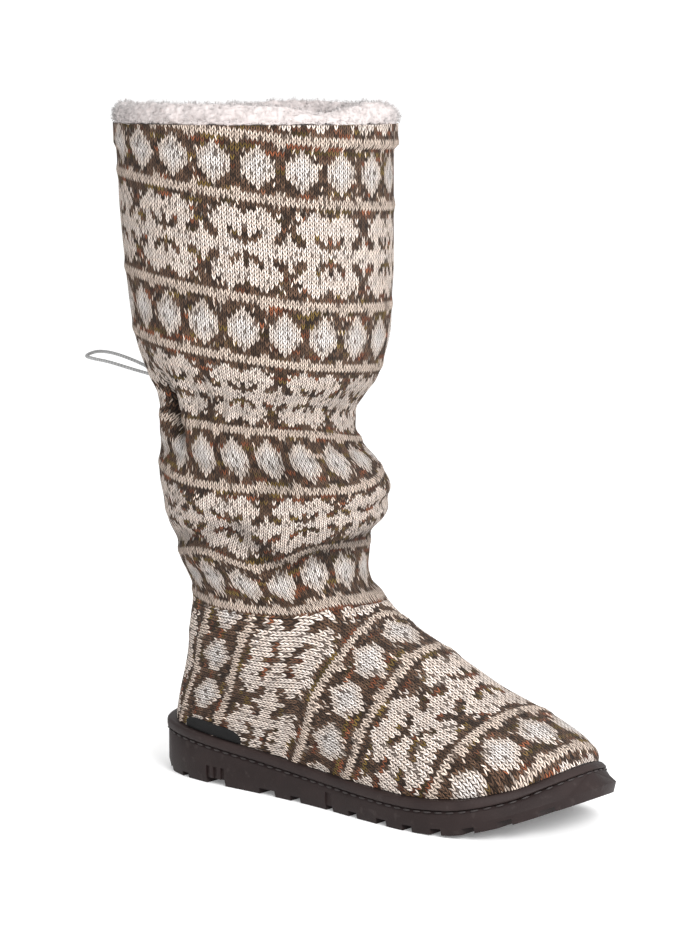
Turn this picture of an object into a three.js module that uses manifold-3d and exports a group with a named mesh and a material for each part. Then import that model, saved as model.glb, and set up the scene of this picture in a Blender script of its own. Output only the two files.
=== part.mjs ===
// Knit slipper boot for the right foot, standing empty on its sole.
// Millimetres. Toe along +X, inner side of the foot along +Y, up along +Z, heel of the upper near X = 0.
// The group is then moved so that the middle of the boot's footprint box is at the origin.
import * as THREE from 'three';
import { mergeVertices } from 'three/addons/utils/BufferGeometryUtils.js';
import ManifoldModule from 'manifold-3d';

const wasm = await ManifoldModule();
wasm.setup();

// Main sizes.
const SOLE_LENGTH = 266;
const SOLE_HEEL = -4;
const KNIT_TOP = 342;
const WALL = 3;
const GAP = 0.3;
const FOOTPRINT_MIDDLE = 115.2;

// Sole details.
const WELT_THICK = 5;
const WELT_PROUD = 0.8;
const WELT_EDGE = 0.8;
const LUG_DEEP = 5;
const LUG_TAPER = 1.2;
const TOE_LEAN = 9;
const TOE_LEAN_FROM = 205;
const WELT_LOW_LEAN = 0.6;
const PANEL_TALL = 9.5;
const SIDE_BEVEL = { across: 1, tall: 1.6 };
const INSOLE_THICK = 5;
const INSOLE_CLEAR = 1.4;
const INSOLE_EDGE = 1.2;

// Fleece cuff inside the collar.
const CUFF_DEEP = 46;
const CUFF_THICK = 8.5;
const CUFF_RISE = 9.6;

// Bare woven tab at the outer heel.
const TAB_FROM = 26;
const TAB_TO = 66;
const TAB_TALL = 6.2;
const TAB_END = 0.4;
const TAB_THICK = 1;
const TAB_LEVEL = 34;

// Cord lock and elastic draw cord at the back of the cinched waist.
const LOCK_HEIGHT = 203;
const LOCK_SIDE = 4;
const LOCK_STAND = 1.2;
const LOCK_RADIUS = 6.5;
const LOCK_LENGTH = 15;
const LOCK_FLOOR = 2.6;
const LOCK_TILT = THREE.MathUtils.degToRad(14);
const BORE_RADIUS = 4.6;
const BUTTON_RADIUS = 4.3;
const BUTTON_PROUD = 4.6;
const BUTTON_TRAVEL = 3;
const CORD_DIAMETER = 1.8;
const STRAND_OFFSET = 1.5;
const CORD_CLEAR = 0.4;
const LOOP_REACH = 57;
const LOOP_RADIUS = 5.4;

// Mesh steps.
const ROUND = 54;
const OUTLINE_STEPS = 360;
const SOLE_STEPS = 30;
const WELT_STEPS = 44;
const INSOLE_STEPS = 36;
const LOCK_SIDES = 20;
const CORD_SIDES = 8;
const CORD_STEPS = 32;
const END_STEP = 0.02;
const MERGE = 1e-3;

const COLOUR = {
  knit: 0x8f8278,
  fleece: 0xe9e1dc,
  rubber: 0x33272a,
  welt: 0x3a2c2e,
  insole: 0xd9cfc6,
  tab: 0x17161a,
  lock: 0xcbb894,
  button: 0xbfa983,
  cord: 0xb9b6b2,
};

function table(columns, rows) {
  const names = columns.split(' ');
  return rows.map((row) => Object.fromEntries(names.map((name, i) => [name, row[i]])));
}

// Sole outline: share of the length from the heel, reach to the outer side, reach to the inner side.
const SOLE_OUTLINE = table('share outer inner', [
  [0.0, 0, 0],
  [0.03, 22, 21],
  [0.09, 33, 31.5],
  [0.18, 38, 35.5],
  [0.32, 39.5, 35.5],
  [0.46, 42.5, 34.5],
  [0.6, 49, 38],
  [0.73, 53, 44.5],
  [0.84, 49.5, 46.5],
  [0.92, 38.5, 41.5],
  [0.975, 21, 29],
  [1.0, -5, 5],
]);

// Sole profile: share of the length, height of the top face, height of the tread (toe spring).
const SOLE_PROFILE = table('share top tread', [
  [0.0, 28.5, 4.5],
  [0.03, 28.2, 1.4],
  [0.075, 27.5, 0],
  [0.3, 22.5, 0],
  [0.5, 18.5, 0],
  [0.7, 17, 0],
  [0.8, 18.5, 1.2],
  [0.9, 24.2, 7.5],
  [0.966, 33, 14.2],
  [1.0, 38.5, 18],
]);

// Gaps between the lugs from heel to toe: start and width along the foot, depth of the notch, how far the
// side is set in above it, and the upright ribs in that panel.
const LUG_GAPS = table('from wide deep inset ribs', [
  [7, 5, 2.6, 0, 0],
  [24, 5, 2.6, 0, 0],
  [44, 13, 3.2, 1.2, 2],
  [81, 11, 3.2, 0, 0],
  [103, 7, 2.8, 0, 0],
  [129, 5, 2.6, 1.0, 0],
  [146, 6, 3, 0, 0],
  [166, 7, 3.2, 0, 0],
  [184, 6, 3.2, 0, 0],
  [201, 6, 3.2, 0, 0],
  [218, 6, 3.2, 0, 0],
  [234, 6, 3.2, 0, 0],
  [249, 5, 2.6, 0, 0],
]);

// Level sections of the upper: height, back and front ends, half widths, share of an oval (0 is the
// foot's own outline), and how far the oval's widest place moves towards the heel.
const LEVELS = table('height back front outer inner oval egg', [
  [14, 1.0, 252.3, 49.4, 43.2, 0.0, 1.0],
  [30, 1.0, 252.6, 49.7, 43.4, 0.02, 1.0],
  [38, 2.0, 247.8, 49.2, 43.2, 0.1, 1.0],
  [45, 3.2, 237.4, 48.2, 42.8, 0.25, 1.0],
  [52, 4.8, 222.4, 46.6, 42.2, 0.45, 1.03],
  [60, 6.8, 202.5, 44.6, 41.2, 0.66, 1.08],
  [68, 8.8, 188.5, 42.6, 39.6, 0.85, 1.15],
  [76, 10.4, 174.0, 40.8, 38.4, 1.0, 1.18],
  [84, 11.4, 154.0, 39.4, 37.6, 1.0, 1.14],
  [92, 11.8, 136.8, 38.6, 37.0, 1.0, 1.06],
  [100, 11.4, 125.5, 38.6, 37.0, 1.0, 1.0],
  [108, 8.2, 116.0, 39.8, 38.0, 1.0, 1.0],
  [116, 3.6, 113.4, 42.2, 40.5, 1.0, 1.0],
  [124, 0.0, 114.5, 45.0, 43.0, 1.0, 1.0],
  [134, -1.2, 119.5, 48.2, 46.5, 1.0, 1.0],
  [144, -2.4, 124.0, 51.0, 49.5, 1.0, 1.0],
  [156, -3.6, 124.5, 53.0, 51.5, 1.0, 1.0],
  [168, -4.6, 116.0, 51.6, 50.5, 1.0, 1.0],
  [178, -5.6, 105.5, 49.0, 48.5, 1.0, 1.0],
  [186, -5.6, 101.5, 47.4, 47.0, 1.0, 1.0],
  [194, -4.8, 101.5, 47.2, 47.0, 1.0, 1.0],
  [202, -5.6, 106.5, 50.0, 49.0, 1.0, 1.0],
  [212, -11.0, 114.5, 55.0, 54.0, 1.0, 1.0],
  [226, -17.4, 118.5, 58.6, 58.0, 1.0, 1.0],
  [244, -21.4, 121.0, 61.2, 60.5, 1.0, 1.0],
  [270, -25.0, 123.5, 63.2, 62.5, 1.0, 1.0],
  [300, -28.0, 123.0, 64.4, 64.0, 1.0, 1.0],
  [329, -30.0, 123.0, 64.8, 64.4, 1.0, 1.0],
  [332, -31.4, 125.0, 66.2, 66.2, 1.0, 1.0],
  [342, -31.6, 125.4, 66.4, 66.4, 1.0, 1.0],
]);

// Ankle seam between foot and shaft, seen from the side.
const SEAM_LINE = table('along height', [
  [-10, 72],
  [55, 72],
  [75, 75],
  [95, 83],
  [110, 92],
  [125, 99],
]);

// Slouch folds: each runs from one place to the other, as a share of the way round from the heel by the
// outer side and a height. A trough has a negative rise.
const FOLDS = table('from low to high rise width', [
  [0.06, 121, 0.28, 137, -3.4, 7],
  [0.28, 137, 0.345, 119, -3.2, 6],
  [0.345, 119, 0.58, 133, -4.0, 7],
  [0.58, 133, 0.8, 125, -3.4, 7],
  [0.8, 125, 1.06, 121, -3.0, 7],
  [0.315, 152, 0.39, 171, -2.6, 6],
  [0.12, 160, 0.27, 148, 2.2, 9],
  [0.4, 150, 0.55, 158, 2.4, 9],
  [0.63, 168, 0.78, 152, -2.4, 7],
  [0.88, 158, 0.98, 172, -2.2, 7],
  [0.2, 226, 0.33, 217, 1.8, 9],
  [0.52, 232, 0.66, 240, 1.6, 12],
]);

// Girth of the shaft that turns a share into millimetres for the folds, and how a fold fades at its ends.
const FOLD_GIRTH = 330;
const FOLD_END = 0.55;
const FOLD_EASE = 1.8;

// Heights of the shaft's level loops above the seam, outside and inside.
const SEAM_STEPS = 4;
const SEAM_TOP = 118;
const SEAM_START = 85;
const SEAM_ROUNDS = 6;
const SHAFT_OUTSIDE = [
  125, 131, 137, 143, 150, 157, 164, 171, 178, 185, 191, 197,
  203, 209, 216, 225, 238, 256, 278, 302, 329, 332, KNIT_TOP,
];
const SHAFT_INSIDE = [129, 140, 151, 163, 175, 186, 195, 204, 216, 240, 284, KNIT_TOP];
const FOOT_OUTSIDE = 13;
const FOOT_INSIDE = 8;
const EDGE_LEVEL = 24;

// A smooth curve through table rows that never swings past them.
function curve(rows, at, value) {
  const x = rows.map((row) => row[at]);
  const y = rows.map((row) => row[value]);
  const last = x.length - 1;
  const step = x.slice(1).map((v, i) => v - x[i]);
  const rise = step.map((s, i) => (y[i + 1] - y[i]) / s);
  const slope = x.map((_, i) => {
    if (i === 0) return rise[0];
    if (i === last) return rise[last - 1];
    if (rise[i - 1] * rise[i] <= 0) return 0;
    const a = 2 * step[i] + step[i - 1];
    const b = step[i] + 2 * step[i - 1];
    return (a + b) / (a / rise[i - 1] + b / rise[i]);
  });
  return (q) => {
    const p = THREE.MathUtils.clamp(q, x[0], x[last]);
    let k = 0;
    while (k < last - 1 && p > x[k + 1]) k += 1;
    const t = (p - x[k]) / step[k];
    const a = (1 + 2 * t) * (1 - t) ** 2 * y[k] + t * (1 - t) ** 2 * step[k] * slope[k];
    const b = t * t * (3 - 2 * t) * y[k + 1] + t * t * (t - 1) * step[k] * slope[k + 1];
    return a + b;
  };
}

const soleTopAt = curve(SOLE_PROFILE, 'share', 'top');
const treadAt = curve(SOLE_PROFILE, 'share', 'tread');
const soleTop = (x) => soleTopAt((x - SOLE_HEEL) / SOLE_LENGTH);
const tread = (x) => treadAt((x - SOLE_HEEL) / SOLE_LENGTH);
const seamHeight = curve(SEAM_LINE, 'along', 'height');
const level = {};
for (const name of ['back', 'front', 'outer', 'inner', 'oval', 'egg']) {
  level[name] = curve(LEVELS, 'height', name);
}

// Closed sole outline as plan points, from the heel along the outer side to the toe and back.
const planPoint = (row, across) => new THREE.Vector3(SOLE_HEEL + row.share * SOLE_LENGTH, across, 0);
const outlinePoints = [
  ...SOLE_OUTLINE.map((row) => planPoint(row, -row.outer)),
  ...SOLE_OUTLINE.slice(1, -1).reverse().map((row) => planPoint(row, row.inner)),
];
const outlineCurve = new THREE.CatmullRomCurve3(outlinePoints, true, 'catmullrom', 0.5);
const FINE = 1600;
const finePoints = outlineCurve.getPoints(FINE);
const toeIndex = Math.round((FINE * (SOLE_OUTLINE.length - 1)) / outlinePoints.length);
const fineLength = [0];
for (let i = 1; i <= FINE; i += 1) {
  fineLength.push(fineLength[i - 1] + finePoints[i].distanceTo(finePoints[i - 1]));
}

// Plan point of the outline at share u of the way round: 0 is the heel, one half is the toe.
function outlineAt(u) {
  const share = ((u % 1) + 1) % 1;
  const toe = fineLength[toeIndex];
  const run = share < 0.5 ? share * 2 * toe : toe + (share - 0.5) * 2 * (fineLength[FINE] - toe);
  let low = 0;
  let high = FINE;
  while (high - low > 1) {
    const mid = (low + high) >> 1;
    if (fineLength[mid] <= run) low = mid;
    else high = mid;
  }
  const t = (run - fineLength[low]) / (fineLength[high] - fineLength[low]);
  return finePoints[low].clone().lerp(finePoints[high], t);
}

const widestOuter = Math.max(...finePoints.map((p) => -p.y));
const widestInner = Math.max(...finePoints.map((p) => p.y));

// Height of the slouch folds over the plain sections.
function foldRise(u, z) {
  let total = 0;
  for (const fold of FOLDS) {
    for (const turn of [-1, 0, 1]) {
      const ax = fold.from * FOLD_GIRTH;
      const bx = fold.to * FOLD_GIRTH;
      const px = (u + turn) * FOLD_GIRTH;
      const run = new THREE.Vector2(bx - ax, fold.high - fold.low);
      const way = new THREE.Vector2(px - ax, z - fold.low);
      const t = THREE.MathUtils.clamp(way.dot(run) / run.lengthSq(), 0, 1);
      const off = way.sub(run.multiplyScalar(t)).length();
      const ease = Math.min(1, FOLD_END + FOLD_EASE * Math.min(t, 1 - t));
      total += fold.rise * ease * Math.exp(-((off / fold.width) ** 2));
    }
  }
  return total;
}

// Plain section of the upper at share u and height z.
function section(u, z) {
  const foot = outlineAt(u);
  const angle = 2 * Math.PI * u;
  const oval = level.oval(z);
  const footAlong = (foot.x - SOLE_HEEL) / SOLE_LENGTH;
  const footAcross = foot.y < 0 ? foot.y / widestOuter : foot.y / widestInner;
  const along = THREE.MathUtils.lerp(footAlong, ((1 - Math.cos(angle)) / 2) ** level.egg(z), oval);
  const across = THREE.MathUtils.lerp(footAcross, -Math.sin(angle), oval);
  const x = THREE.MathUtils.lerp(level.back(z), level.front(z), along);
  return new THREE.Vector3(x, across * (across < 0 ? level.outer(z) : level.inner(z)), z);
}

function normalOf(surface, u, z) {
  const du = 0.004;
  const dz = 0.6;
  const around = surface(u + du, z).sub(surface(u - du, z));
  const upward = surface(u, z + dz).sub(surface(u, z - dz));
  return around.cross(upward).normalize();
}

// Outside of the upper with its folds.
function skin(u, z) {
  const rise = foldRise(u, z);
  const point = section(u, z);
  if (Math.abs(rise) < MERGE) return point;
  return point.addScaledVector(normalOf(section, u, z), rise);
}

// A point set into the wall by a depth, along the wall's own normal.
function inset(u, z, depth) {
  return skin(u, z).addScaledVector(normalOf(skin, u, z), -depth);
}

// A point stood off the level section sideways only, at a free height.
function aside(u, z, out, height) {
  const point = section(u, Math.min(z, KNIT_TOP));
  const normal = normalOf(section, u, Math.min(z, KNIT_TOP)).setZ(0).normalize();
  point.addScaledVector(normal, out);
  point.z = height;
  return point;
}

// Height of the ankle seam at share u.
function seamAt(u) {
  let z = SEAM_START;
  for (let i = 0; i < SEAM_ROUNDS; i += 1) z = seamHeight(section(u, z).x);
  return z;
}

// Height of the upper's lower edge at share u.
function edgeAt(u) {
  return soleTop(section(u, EDGE_LEVEL).x) + GAP;
}

function solidFrom(points, faces) {
  const geometry = new THREE.BufferGeometry();
  const places = points.flatMap((p) => [p.x, p.y, p.z]);
  geometry.setAttribute('position', new THREE.Float32BufferAttribute(places, 3));
  geometry.setIndex(faces.flat());
  return cleaned(geometry);
}

// Merges shared vertices and drops faces with no area.
function cleaned(source) {
  const bare = source.clone();
  for (const name of Object.keys(bare.attributes)) {
    if (name !== 'position') bare.deleteAttribute(name);
  }
  const merged = mergeVertices(bare, MERGE);
  const index = merged.getIndex().array;
  const kept = [];
  for (let i = 0; i < index.length; i += 3) {
    const [a, b, c] = [index[i], index[i + 1], index[i + 2]];
    if (a !== b && b !== c && c !== a) kept.push(a, b, c);
  }
  merged.setIndex(kept);
  merged.computeVertexNormals();
  return merged;
}

// A closed wall from level loops of equal count: up the outside, then down the inside.
function loopWall(loops) {
  const count = loops[0].length;
  const points = loops.flat();
  const faces = [];
  loops.forEach((_, row) => {
    const next = (row + 1) % loops.length;
    for (let i = 0; i < count; i += 1) {
      const j = (i + 1) % count;
      const [a, b, c, d] = [row * count + i, row * count + j, next * count + j, next * count + i];
      faces.push([a, b, c], [a, c, d]);
    }
  });
  return solidFrom(points, faces);
}

function manifoldOf(geometry) {
  const mesh = cleaned(geometry);
  return new wasm.Manifold(new wasm.Mesh({
    numProp: 3,
    vertProperties: new Float32Array(mesh.getAttribute('position').array),
    triVerts: new Uint32Array(mesh.getIndex().array),
  }));
}

function geometryOf(manifold) {
  const mesh = manifold.getMesh();
  const geometry = new THREE.BufferGeometry();
  geometry.setAttribute('position', new THREE.BufferAttribute(new Float32Array(mesh.vertProperties), 3));
  geometry.setIndex(new THREE.BufferAttribute(new Uint32Array(mesh.triVerts), 1));
  return cleaned(geometry);
}

function material(colour, roughness) {
  return new THREE.MeshStandardMaterial({ color: colour, roughness, metalness: 0 });
}

const boot = new THREE.Group();

function addPart(name, geometry, look, parent = boot) {
  const mesh = new THREE.Mesh(geometry, look);
  mesh.name = name;
  parent.add(mesh);
  return mesh;
}

const shares = Array.from({ length: ROUND }, (_, i) => i / ROUND);

// Half spans of a plan loop at a station along the foot, as [outer y, inner y].
function spanOf(loop, x) {
  const found = [];
  for (let i = 0; i < loop.length; i += 1) {
    const p = loop[i];
    const q = loop[(i + 1) % loop.length];
    const crosses = (p.x - x) * (q.x - x) <= 0 && p.x !== q.x;
    if (crosses) found.push(p.y + ((q.y - p.y) * (x - p.x)) / (q.x - p.x));
  }
  return [Math.min(...found), Math.max(...found)];
}

// Stations along a plan loop, close together at its round ends.
function stationsOf(loop, count) {
  const { low, high } = endsOf(loop);
  const share = (i) => (1 - Math.cos((Math.PI * i) / count)) / 2;
  return Array.from({ length: count + 1 }, (_, i) => THREE.MathUtils.lerp(low, high, share(i)));
}

// First and last station of a plan loop, just inside its ends.
function endsOf(loop) {
  const xs = loop.map((p) => p.x);
  return { low: Math.min(...xs) + END_STEP, high: Math.max(...xs) - END_STEP };
}

// Moves a plan loop in or out along its own normal, by a distance that may depend on the place.
function offsetLoop(loop, outAt) {
  return loop.map((p, i) => {
    const next = loop[(i + 1) % loop.length];
    const prev = loop[(i + loop.length - 1) % loop.length];
    const way = next.clone().sub(prev).normalize();
    const out = outAt(p.x);
    return new THREE.Vector3(p.x + way.y * out, p.y - way.x * out, 0);
  });
}

const soleLoop = Array.from({ length: OUTLINE_STEPS }, (_, i) => outlineAt(i / OUTLINE_STEPS));

// How far the rubber's upper edge sits behind its widest line, which only the toe does.
const leanAt = (x) => TOE_LEAN * THREE.MathUtils.smoothstep(x, TOE_LEAN_FROM, SOLE_HEEL + SOLE_LENGTH);
const soleTopLoop = offsetLoop(soleLoop, (x) => -WELT_LOW_LEAN * leanAt(x));

// Half spans of a plan loop at a station, or at its nearest end, with the station that was used.
function nearSpan(loop, x) {
  const { low, high } = endsOf(loop);
  const near = THREE.MathUtils.clamp(x, low, high);
  const [outer, inner] = spanOf(loop, near);
  return { x: near, outer, inner };
}

// Stations of one gap between lugs: two at each edge, with the notch and the side before and after it.
function gapStations(gap) {
  const panels = 2 * gap.ribs + 1;
  const flush = { deep: 0, inset: 0 };
  const panel = (i) => ({ deep: gap.deep, inset: i % 2 ? 0 : gap.inset });
  const inside = Array.from({ length: panels }, (_, i) => panel(i));
  const all = [flush, ...inside, flush];
  return Array.from({ length: panels + 1 }, (_, i) => {
    const x = gap.from + (gap.wide * i) / panels;
    return [{ x, ...all[i] }, { x, ...all[i + 1] }];
  }).flat();
}

// Outsole with cross lugs that lean in a little, set-in side panels and a bevel under the welt.
function outsole() {
  const clear = 1.2;
  const treadLoop = offsetLoop(soleLoop, () => -LUG_TAPER);
  const clearOf = (gap, x) => x < gap.from - clear || x > gap.from + gap.wide + clear;
  const clearOfGaps = (x) => LUG_GAPS.every((gap) => clearOf(gap, x));
  const plain = stationsOf(soleLoop, SOLE_STEPS).filter(clearOfGaps);
  const stations = [...plain.map((x) => ({ x, deep: 0, inset: 0 })), ...LUG_GAPS.flatMap(gapStations)];
  stations.sort((a, b) => a.x - b.x);
  const sections = stations.map(({ x, deep, inset }) => {
    const [outer, inner] = spanOf(soleLoop, x);
    const low = nearSpan(treadLoop, x);
    const high = nearSpan(soleTopLoop, x);
    const share = deep / LUG_DEEP;
    const bottomX = THREE.MathUtils.lerp(low.x, x, share);
    const bottomOuter = Math.max(THREE.MathUtils.lerp(low.outer, outer, share), outer + inset);
    const bottomInner = Math.min(THREE.MathUtils.lerp(low.inner, inner, share), inner - inset);
    const floor = tread(x);
    const wide = floor + LUG_DEEP;
    const top = soleTop(high.x) - WELT_THICK - GAP;
    const bevel = Math.min(SIDE_BEVEL.across, (high.inner - high.outer) / 4);
    const side = top - SIDE_BEVEL.tall;
    const shelf = Math.min(floor + PANEL_TALL, side - GAP);
    const outerSide = (z, by) => new THREE.Vector3(x, outer, wide)
      .lerp(new THREE.Vector3(high.x, high.outer, top), (z - wide) / (top - wide))
      .add(new THREE.Vector3(0, by, 0));
    const innerSide = (z, by) => new THREE.Vector3(x, inner, wide)
      .lerp(new THREE.Vector3(high.x, high.inner, top), (z - wide) / (top - wide))
      .add(new THREE.Vector3(0, -by, 0));
    return [
      new THREE.Vector3(bottomX, bottomOuter, floor + deep),
      new THREE.Vector3(bottomX, bottomInner, floor + deep),
      innerSide(wide, inset),
      innerSide(shelf, inset),
      innerSide(shelf, 0),
      innerSide(side, 0),
      innerSide(top, bevel),
      outerSide(top, bevel),
      outerSide(side, 0),
      outerSide(shelf, 0),
      outerSide(shelf, inset),
      outerSide(wide, inset),
    ];
  });
  return closeEnds(sections);
}

// Closes the first and last station of a bar with a flat end.
function closeEnds(sections) {
  const count = sections[0].length;
  const points = sections.flat();
  const faces = [];
  for (let row = 0; row + 1 < sections.length; row += 1) {
    for (let i = 0; i < count; i += 1) {
      const j = (i + 1) % count;
      const next = row + 1;
      const [a, b, c, d] = [row * count + i, row * count + j, next * count + j, next * count + i];
      faces.push([a, b, c], [a, c, d]);
    }
  }
  const last = (sections.length - 1) * count;
  for (let i = 1; i + 1 < count; i += 1) {
    faces.push([0, i + 1, i], [last, last + i, last + i + 1]);
  }
  return solidFrom(points, faces);
}

// A plate that follows the sole: lower and upper plan loop, and its faces as functions along the foot.
function plate(lowLoop, highLoop, count, lower, upper, round) {
  const sections = stationsOf(lowLoop, count).map((x) => {
    const [outer, inner] = spanOf(lowLoop, x);
    const high = nearSpan(highLoop, x);
    const ease = Math.min(round, (inner - outer) / 4, (high.inner - high.outer) / 4);
    const mid = (a, b) => (a + b) / 2;
    const midX = mid(x, high.x);
    const midHeight = mid(lower(x), upper(high.x));
    return [
      new THREE.Vector3(x, outer + ease, lower(x)),
      new THREE.Vector3(x, inner - ease, lower(x)),
      new THREE.Vector3(midX, mid(inner, high.inner), midHeight),
      new THREE.Vector3(high.x, high.inner - ease, upper(high.x)),
      new THREE.Vector3(high.x, high.outer + ease, upper(high.x)),
      new THREE.Vector3(midX, mid(outer, high.outer), midHeight),
    ];
  });
  return closeEnds(sections);
}

addPart('outsole', outsole(), material(COLOUR.rubber, 0.75));

const weltLow = offsetLoop(soleLoop, (x) => WELT_PROUD - WELT_LOW_LEAN * leanAt(x));
const weltHigh = offsetLoop(soleLoop, (x) => WELT_PROUD - leanAt(x));
addPart(
  'welt',
  plate(weltLow, weltHigh, WELT_STEPS, (x) => soleTop(x) - WELT_THICK, soleTop, WELT_EDGE),
  material(COLOUR.welt, 0.7),
);

const wallFoot = (u) => inset(u, edgeAt(u) + INSOLE_THICK, WALL).setZ(0);
const insoleLoop = offsetLoop(
  Array.from({ length: OUTLINE_STEPS / 2 }, (_, i) => wallFoot((2 * i) / OUTLINE_STEPS)),
  () => -INSOLE_CLEAR,
);
const insoleFloor = (x) => soleTop(x) + GAP;
const insoleTop = (x) => insoleFloor(x) + INSOLE_THICK;
addPart(
  'insole',
  plate(insoleLoop, insoleLoop, INSOLE_STEPS, insoleFloor, insoleTop, INSOLE_EDGE),
  material(COLOUR.insole, 0.95),
);

// Foot of the upper: from the sole's top to the ankle seam.
function footWall() {
  const heightAt = (u, share) => THREE.MathUtils.lerp(edgeAt(u), seamAt(u) - GAP / 2, share);
  const outside = Array.from({ length: FOOT_OUTSIDE + 1 }, (_, row) =>
    shares.map((u) => skin(u, heightAt(u, row / FOOT_OUTSIDE))));
  const inside = Array.from({ length: FOOT_INSIDE + 1 }, (_, row) =>
    shares.map((u) => inset(u, heightAt(u, row / FOOT_INSIDE), WALL)));
  for (const point of inside[0]) point.z = soleTop(point.x) + GAP;
  return loopWall([...outside, ...inside.reverse()]);
}

// Shaft: from the ankle seam up to the collar, with the cinched waist and the folds.
function shaftWall() {
  const loop = (z, depth) => shares.map((u) => (depth ? inset(u, z(u), depth) : skin(u, z(u))));
  const rising = (row) => (u) => THREE.MathUtils.lerp(seamAt(u) + GAP / 2, SEAM_TOP, row / SEAM_STEPS);
  const rows = Array.from({ length: SEAM_STEPS + 1 }, (_, row) => rising(row));
  const outside = [...rows, ...SHAFT_OUTSIDE.map((z) => () => z)].map((z) => loop(z, 0));
  const inside = [...rows, ...SHAFT_INSIDE.map((z) => () => z)].map((z) => loop(z, WALL));
  for (const point of inside[inside.length - 1]) point.z = KNIT_TOP;
  return loopWall([...outside, ...inside.reverse()]);
}

addPart('upper', footWall(), material(COLOUR.knit, 0.95));
addPart('shaft', shaftWall(), material(COLOUR.knit, 0.95));

// Fleece cuff: out from the level section, up from the knit's top edge, and how far it waves.
const CUFF_PROFILE = table('out up wave', [
  [-WALL - GAP - CUFF_THICK, -CUFF_DEEP, 0],
  [-WALL - GAP, -CUFF_DEEP, 0],
  [-WALL - GAP, -14, 0],
  [-WALL - GAP, GAP, 0],
  [-1.4, GAP + 0.2, 0],
  [-0.4, CUFF_RISE * 0.4, 0.3],
  [-1.8, CUFF_RISE * 0.8, 0.8],
  [-5.4, CUFF_RISE, 1],
  [-9.4, CUFF_RISE * 0.85, 0.8],
  [-WALL - GAP - CUFF_THICK, 2, 0.2],
  [-WALL - GAP - CUFF_THICK, -18, 0],
]);

// Waves of the cuff's rim: their place round it, width and rise.
const CUFF_WAVES = table('share width rise', [
  [0.26, 0.07, 1.2],
  [0.43, 0.035, -3.4],
  [0.52, 0.035, 1.8],
  [0.62, 0.05, -1.2],
  [0.78, 0.06, 1.4],
  [0.92, 0.05, -1.6],
  [0.08, 0.05, 0.6],
]);

function cuffWave(u) {
  const off = (wave) => THREE.MathUtils.euclideanModulo(u - wave.share + 0.5, 1) - 0.5;
  return CUFF_WAVES.reduce((sum, wave) => sum + wave.rise * Math.exp(-((off(wave) / wave.width) ** 2)), 0);
}

function cuffWall() {
  const loops = CUFF_PROFILE.map((row) => shares.map((u) => {
    const z = KNIT_TOP + row.up;
    return aside(u, z, row.out, z + row.wave * cuffWave(u));
  }));
  return loopWall(loops);
}

addPart('fleece_cuff', cuffWall(), material(COLOUR.fleece, 1));

// Bare tab that stands on the sole's top at the outer heel and follows the upper.
function sideTab() {
  const across = 10;
  const tall = 2;
  const halvings = 40;
  const shareAt = (x) => {
    let [low, high] = [0.02, 0.3];
    for (let i = 0; i < halvings; i += 1) {
      const mid = (low + high) / 2;
      if (section(mid, TAB_LEVEL).x < x) low = mid;
      else high = mid;
    }
    return low;
  };
  const [from, to] = [shareAt(TAB_FROM), shareAt(TAB_TO)];
  const tallAt = (t) => TAB_TALL * (TAB_END + (1 - TAB_END) * Math.sqrt(1 - (2 * t - 1) ** 4));
  const column = (i, out) => Array.from({ length: tall + 1 }, (_, row) => {
    const u = THREE.MathUtils.lerp(from, to, i / across);
    return inset(u, edgeAt(u) + GAP + (tallAt(i / across) * row) / tall, -out);
  });
  const sections = Array.from({ length: across + 1 }, (_, i) => [
    ...column(i, GAP),
    ...column(i, GAP + TAB_THICK).reverse(),
  ]);
  return closeEnds(sections);
}

addPart('side_tab', sideTab(), material(COLOUR.tab, 0.85));

// Cord lock: a barrel lying across the heel side of the waist, with a sprung button in one end.
const lockBack = skin(0, LOCK_HEIGHT).x;
const lock = new THREE.Group();
lock.position.set(lockBack - LOCK_RADIUS - LOCK_STAND, LOCK_SIDE, LOCK_HEIGHT);
lock.rotation.y = LOCK_TILT;
boot.add(lock);

// Turned profile about the barrel's axis, laid along Y.
function turned(profile) {
  const points = profile.map((row) => new THREE.Vector2(row.radius, row.along));
  return new THREE.LatheGeometry(points, LOCK_SIDES);
}

// Cross slot for the two strands, along X; it may be longer along the barrel to let the button move.
function cordSlot(extra) {
  const wide = 2 * STRAND_OFFSET + CORD_DIAMETER + 2 * CORD_CLEAR;
  const tall = CORD_DIAMETER + 2 * CORD_CLEAR;
  const slot = new THREE.BoxGeometry(4 * LOCK_RADIUS, wide + extra, tall);
  slot.translate(0, extra / 2, 0);
  return manifoldOf(slot);
}

const half = LOCK_LENGTH / 2;
const barrelProfile = table('radius along', [
  [0, -half],
  [LOCK_RADIUS - 1.6, -half],
  [LOCK_RADIUS - 0.4, -half + 0.9],
  [LOCK_RADIUS, -half + 2.4],
  [LOCK_RADIUS, half - 1.6],
  [LOCK_RADIUS - 0.8, half],
  [BORE_RADIUS, half],
  [BORE_RADIUS, -half + LOCK_FLOOR],
  [0, -half + LOCK_FLOOR],
]);
const buttonEnd = -half + LOCK_FLOOR + BUTTON_TRAVEL + CORD_CLEAR;
const buttonProfile = table('radius along', [
  [0, buttonEnd],
  [BUTTON_RADIUS, buttonEnd],
  [BUTTON_RADIUS, half + BUTTON_PROUD - 1],
  [BUTTON_RADIUS - 1, half + BUTTON_PROUD],
  [0, half + BUTTON_PROUD],
]);
addPart(
  'cord_lock',
  geometryOf(manifoldOf(turned(barrelProfile)).subtract(cordSlot(0))),
  material(COLOUR.lock, 0.4),
  lock,
);
addPart(
  'cord_lock_button',
  geometryOf(manifoldOf(turned(buttonProfile)).subtract(cordSlot(BUTTON_TRAVEL))),
  material(COLOUR.button, 0.4),
  lock,
);

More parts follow.
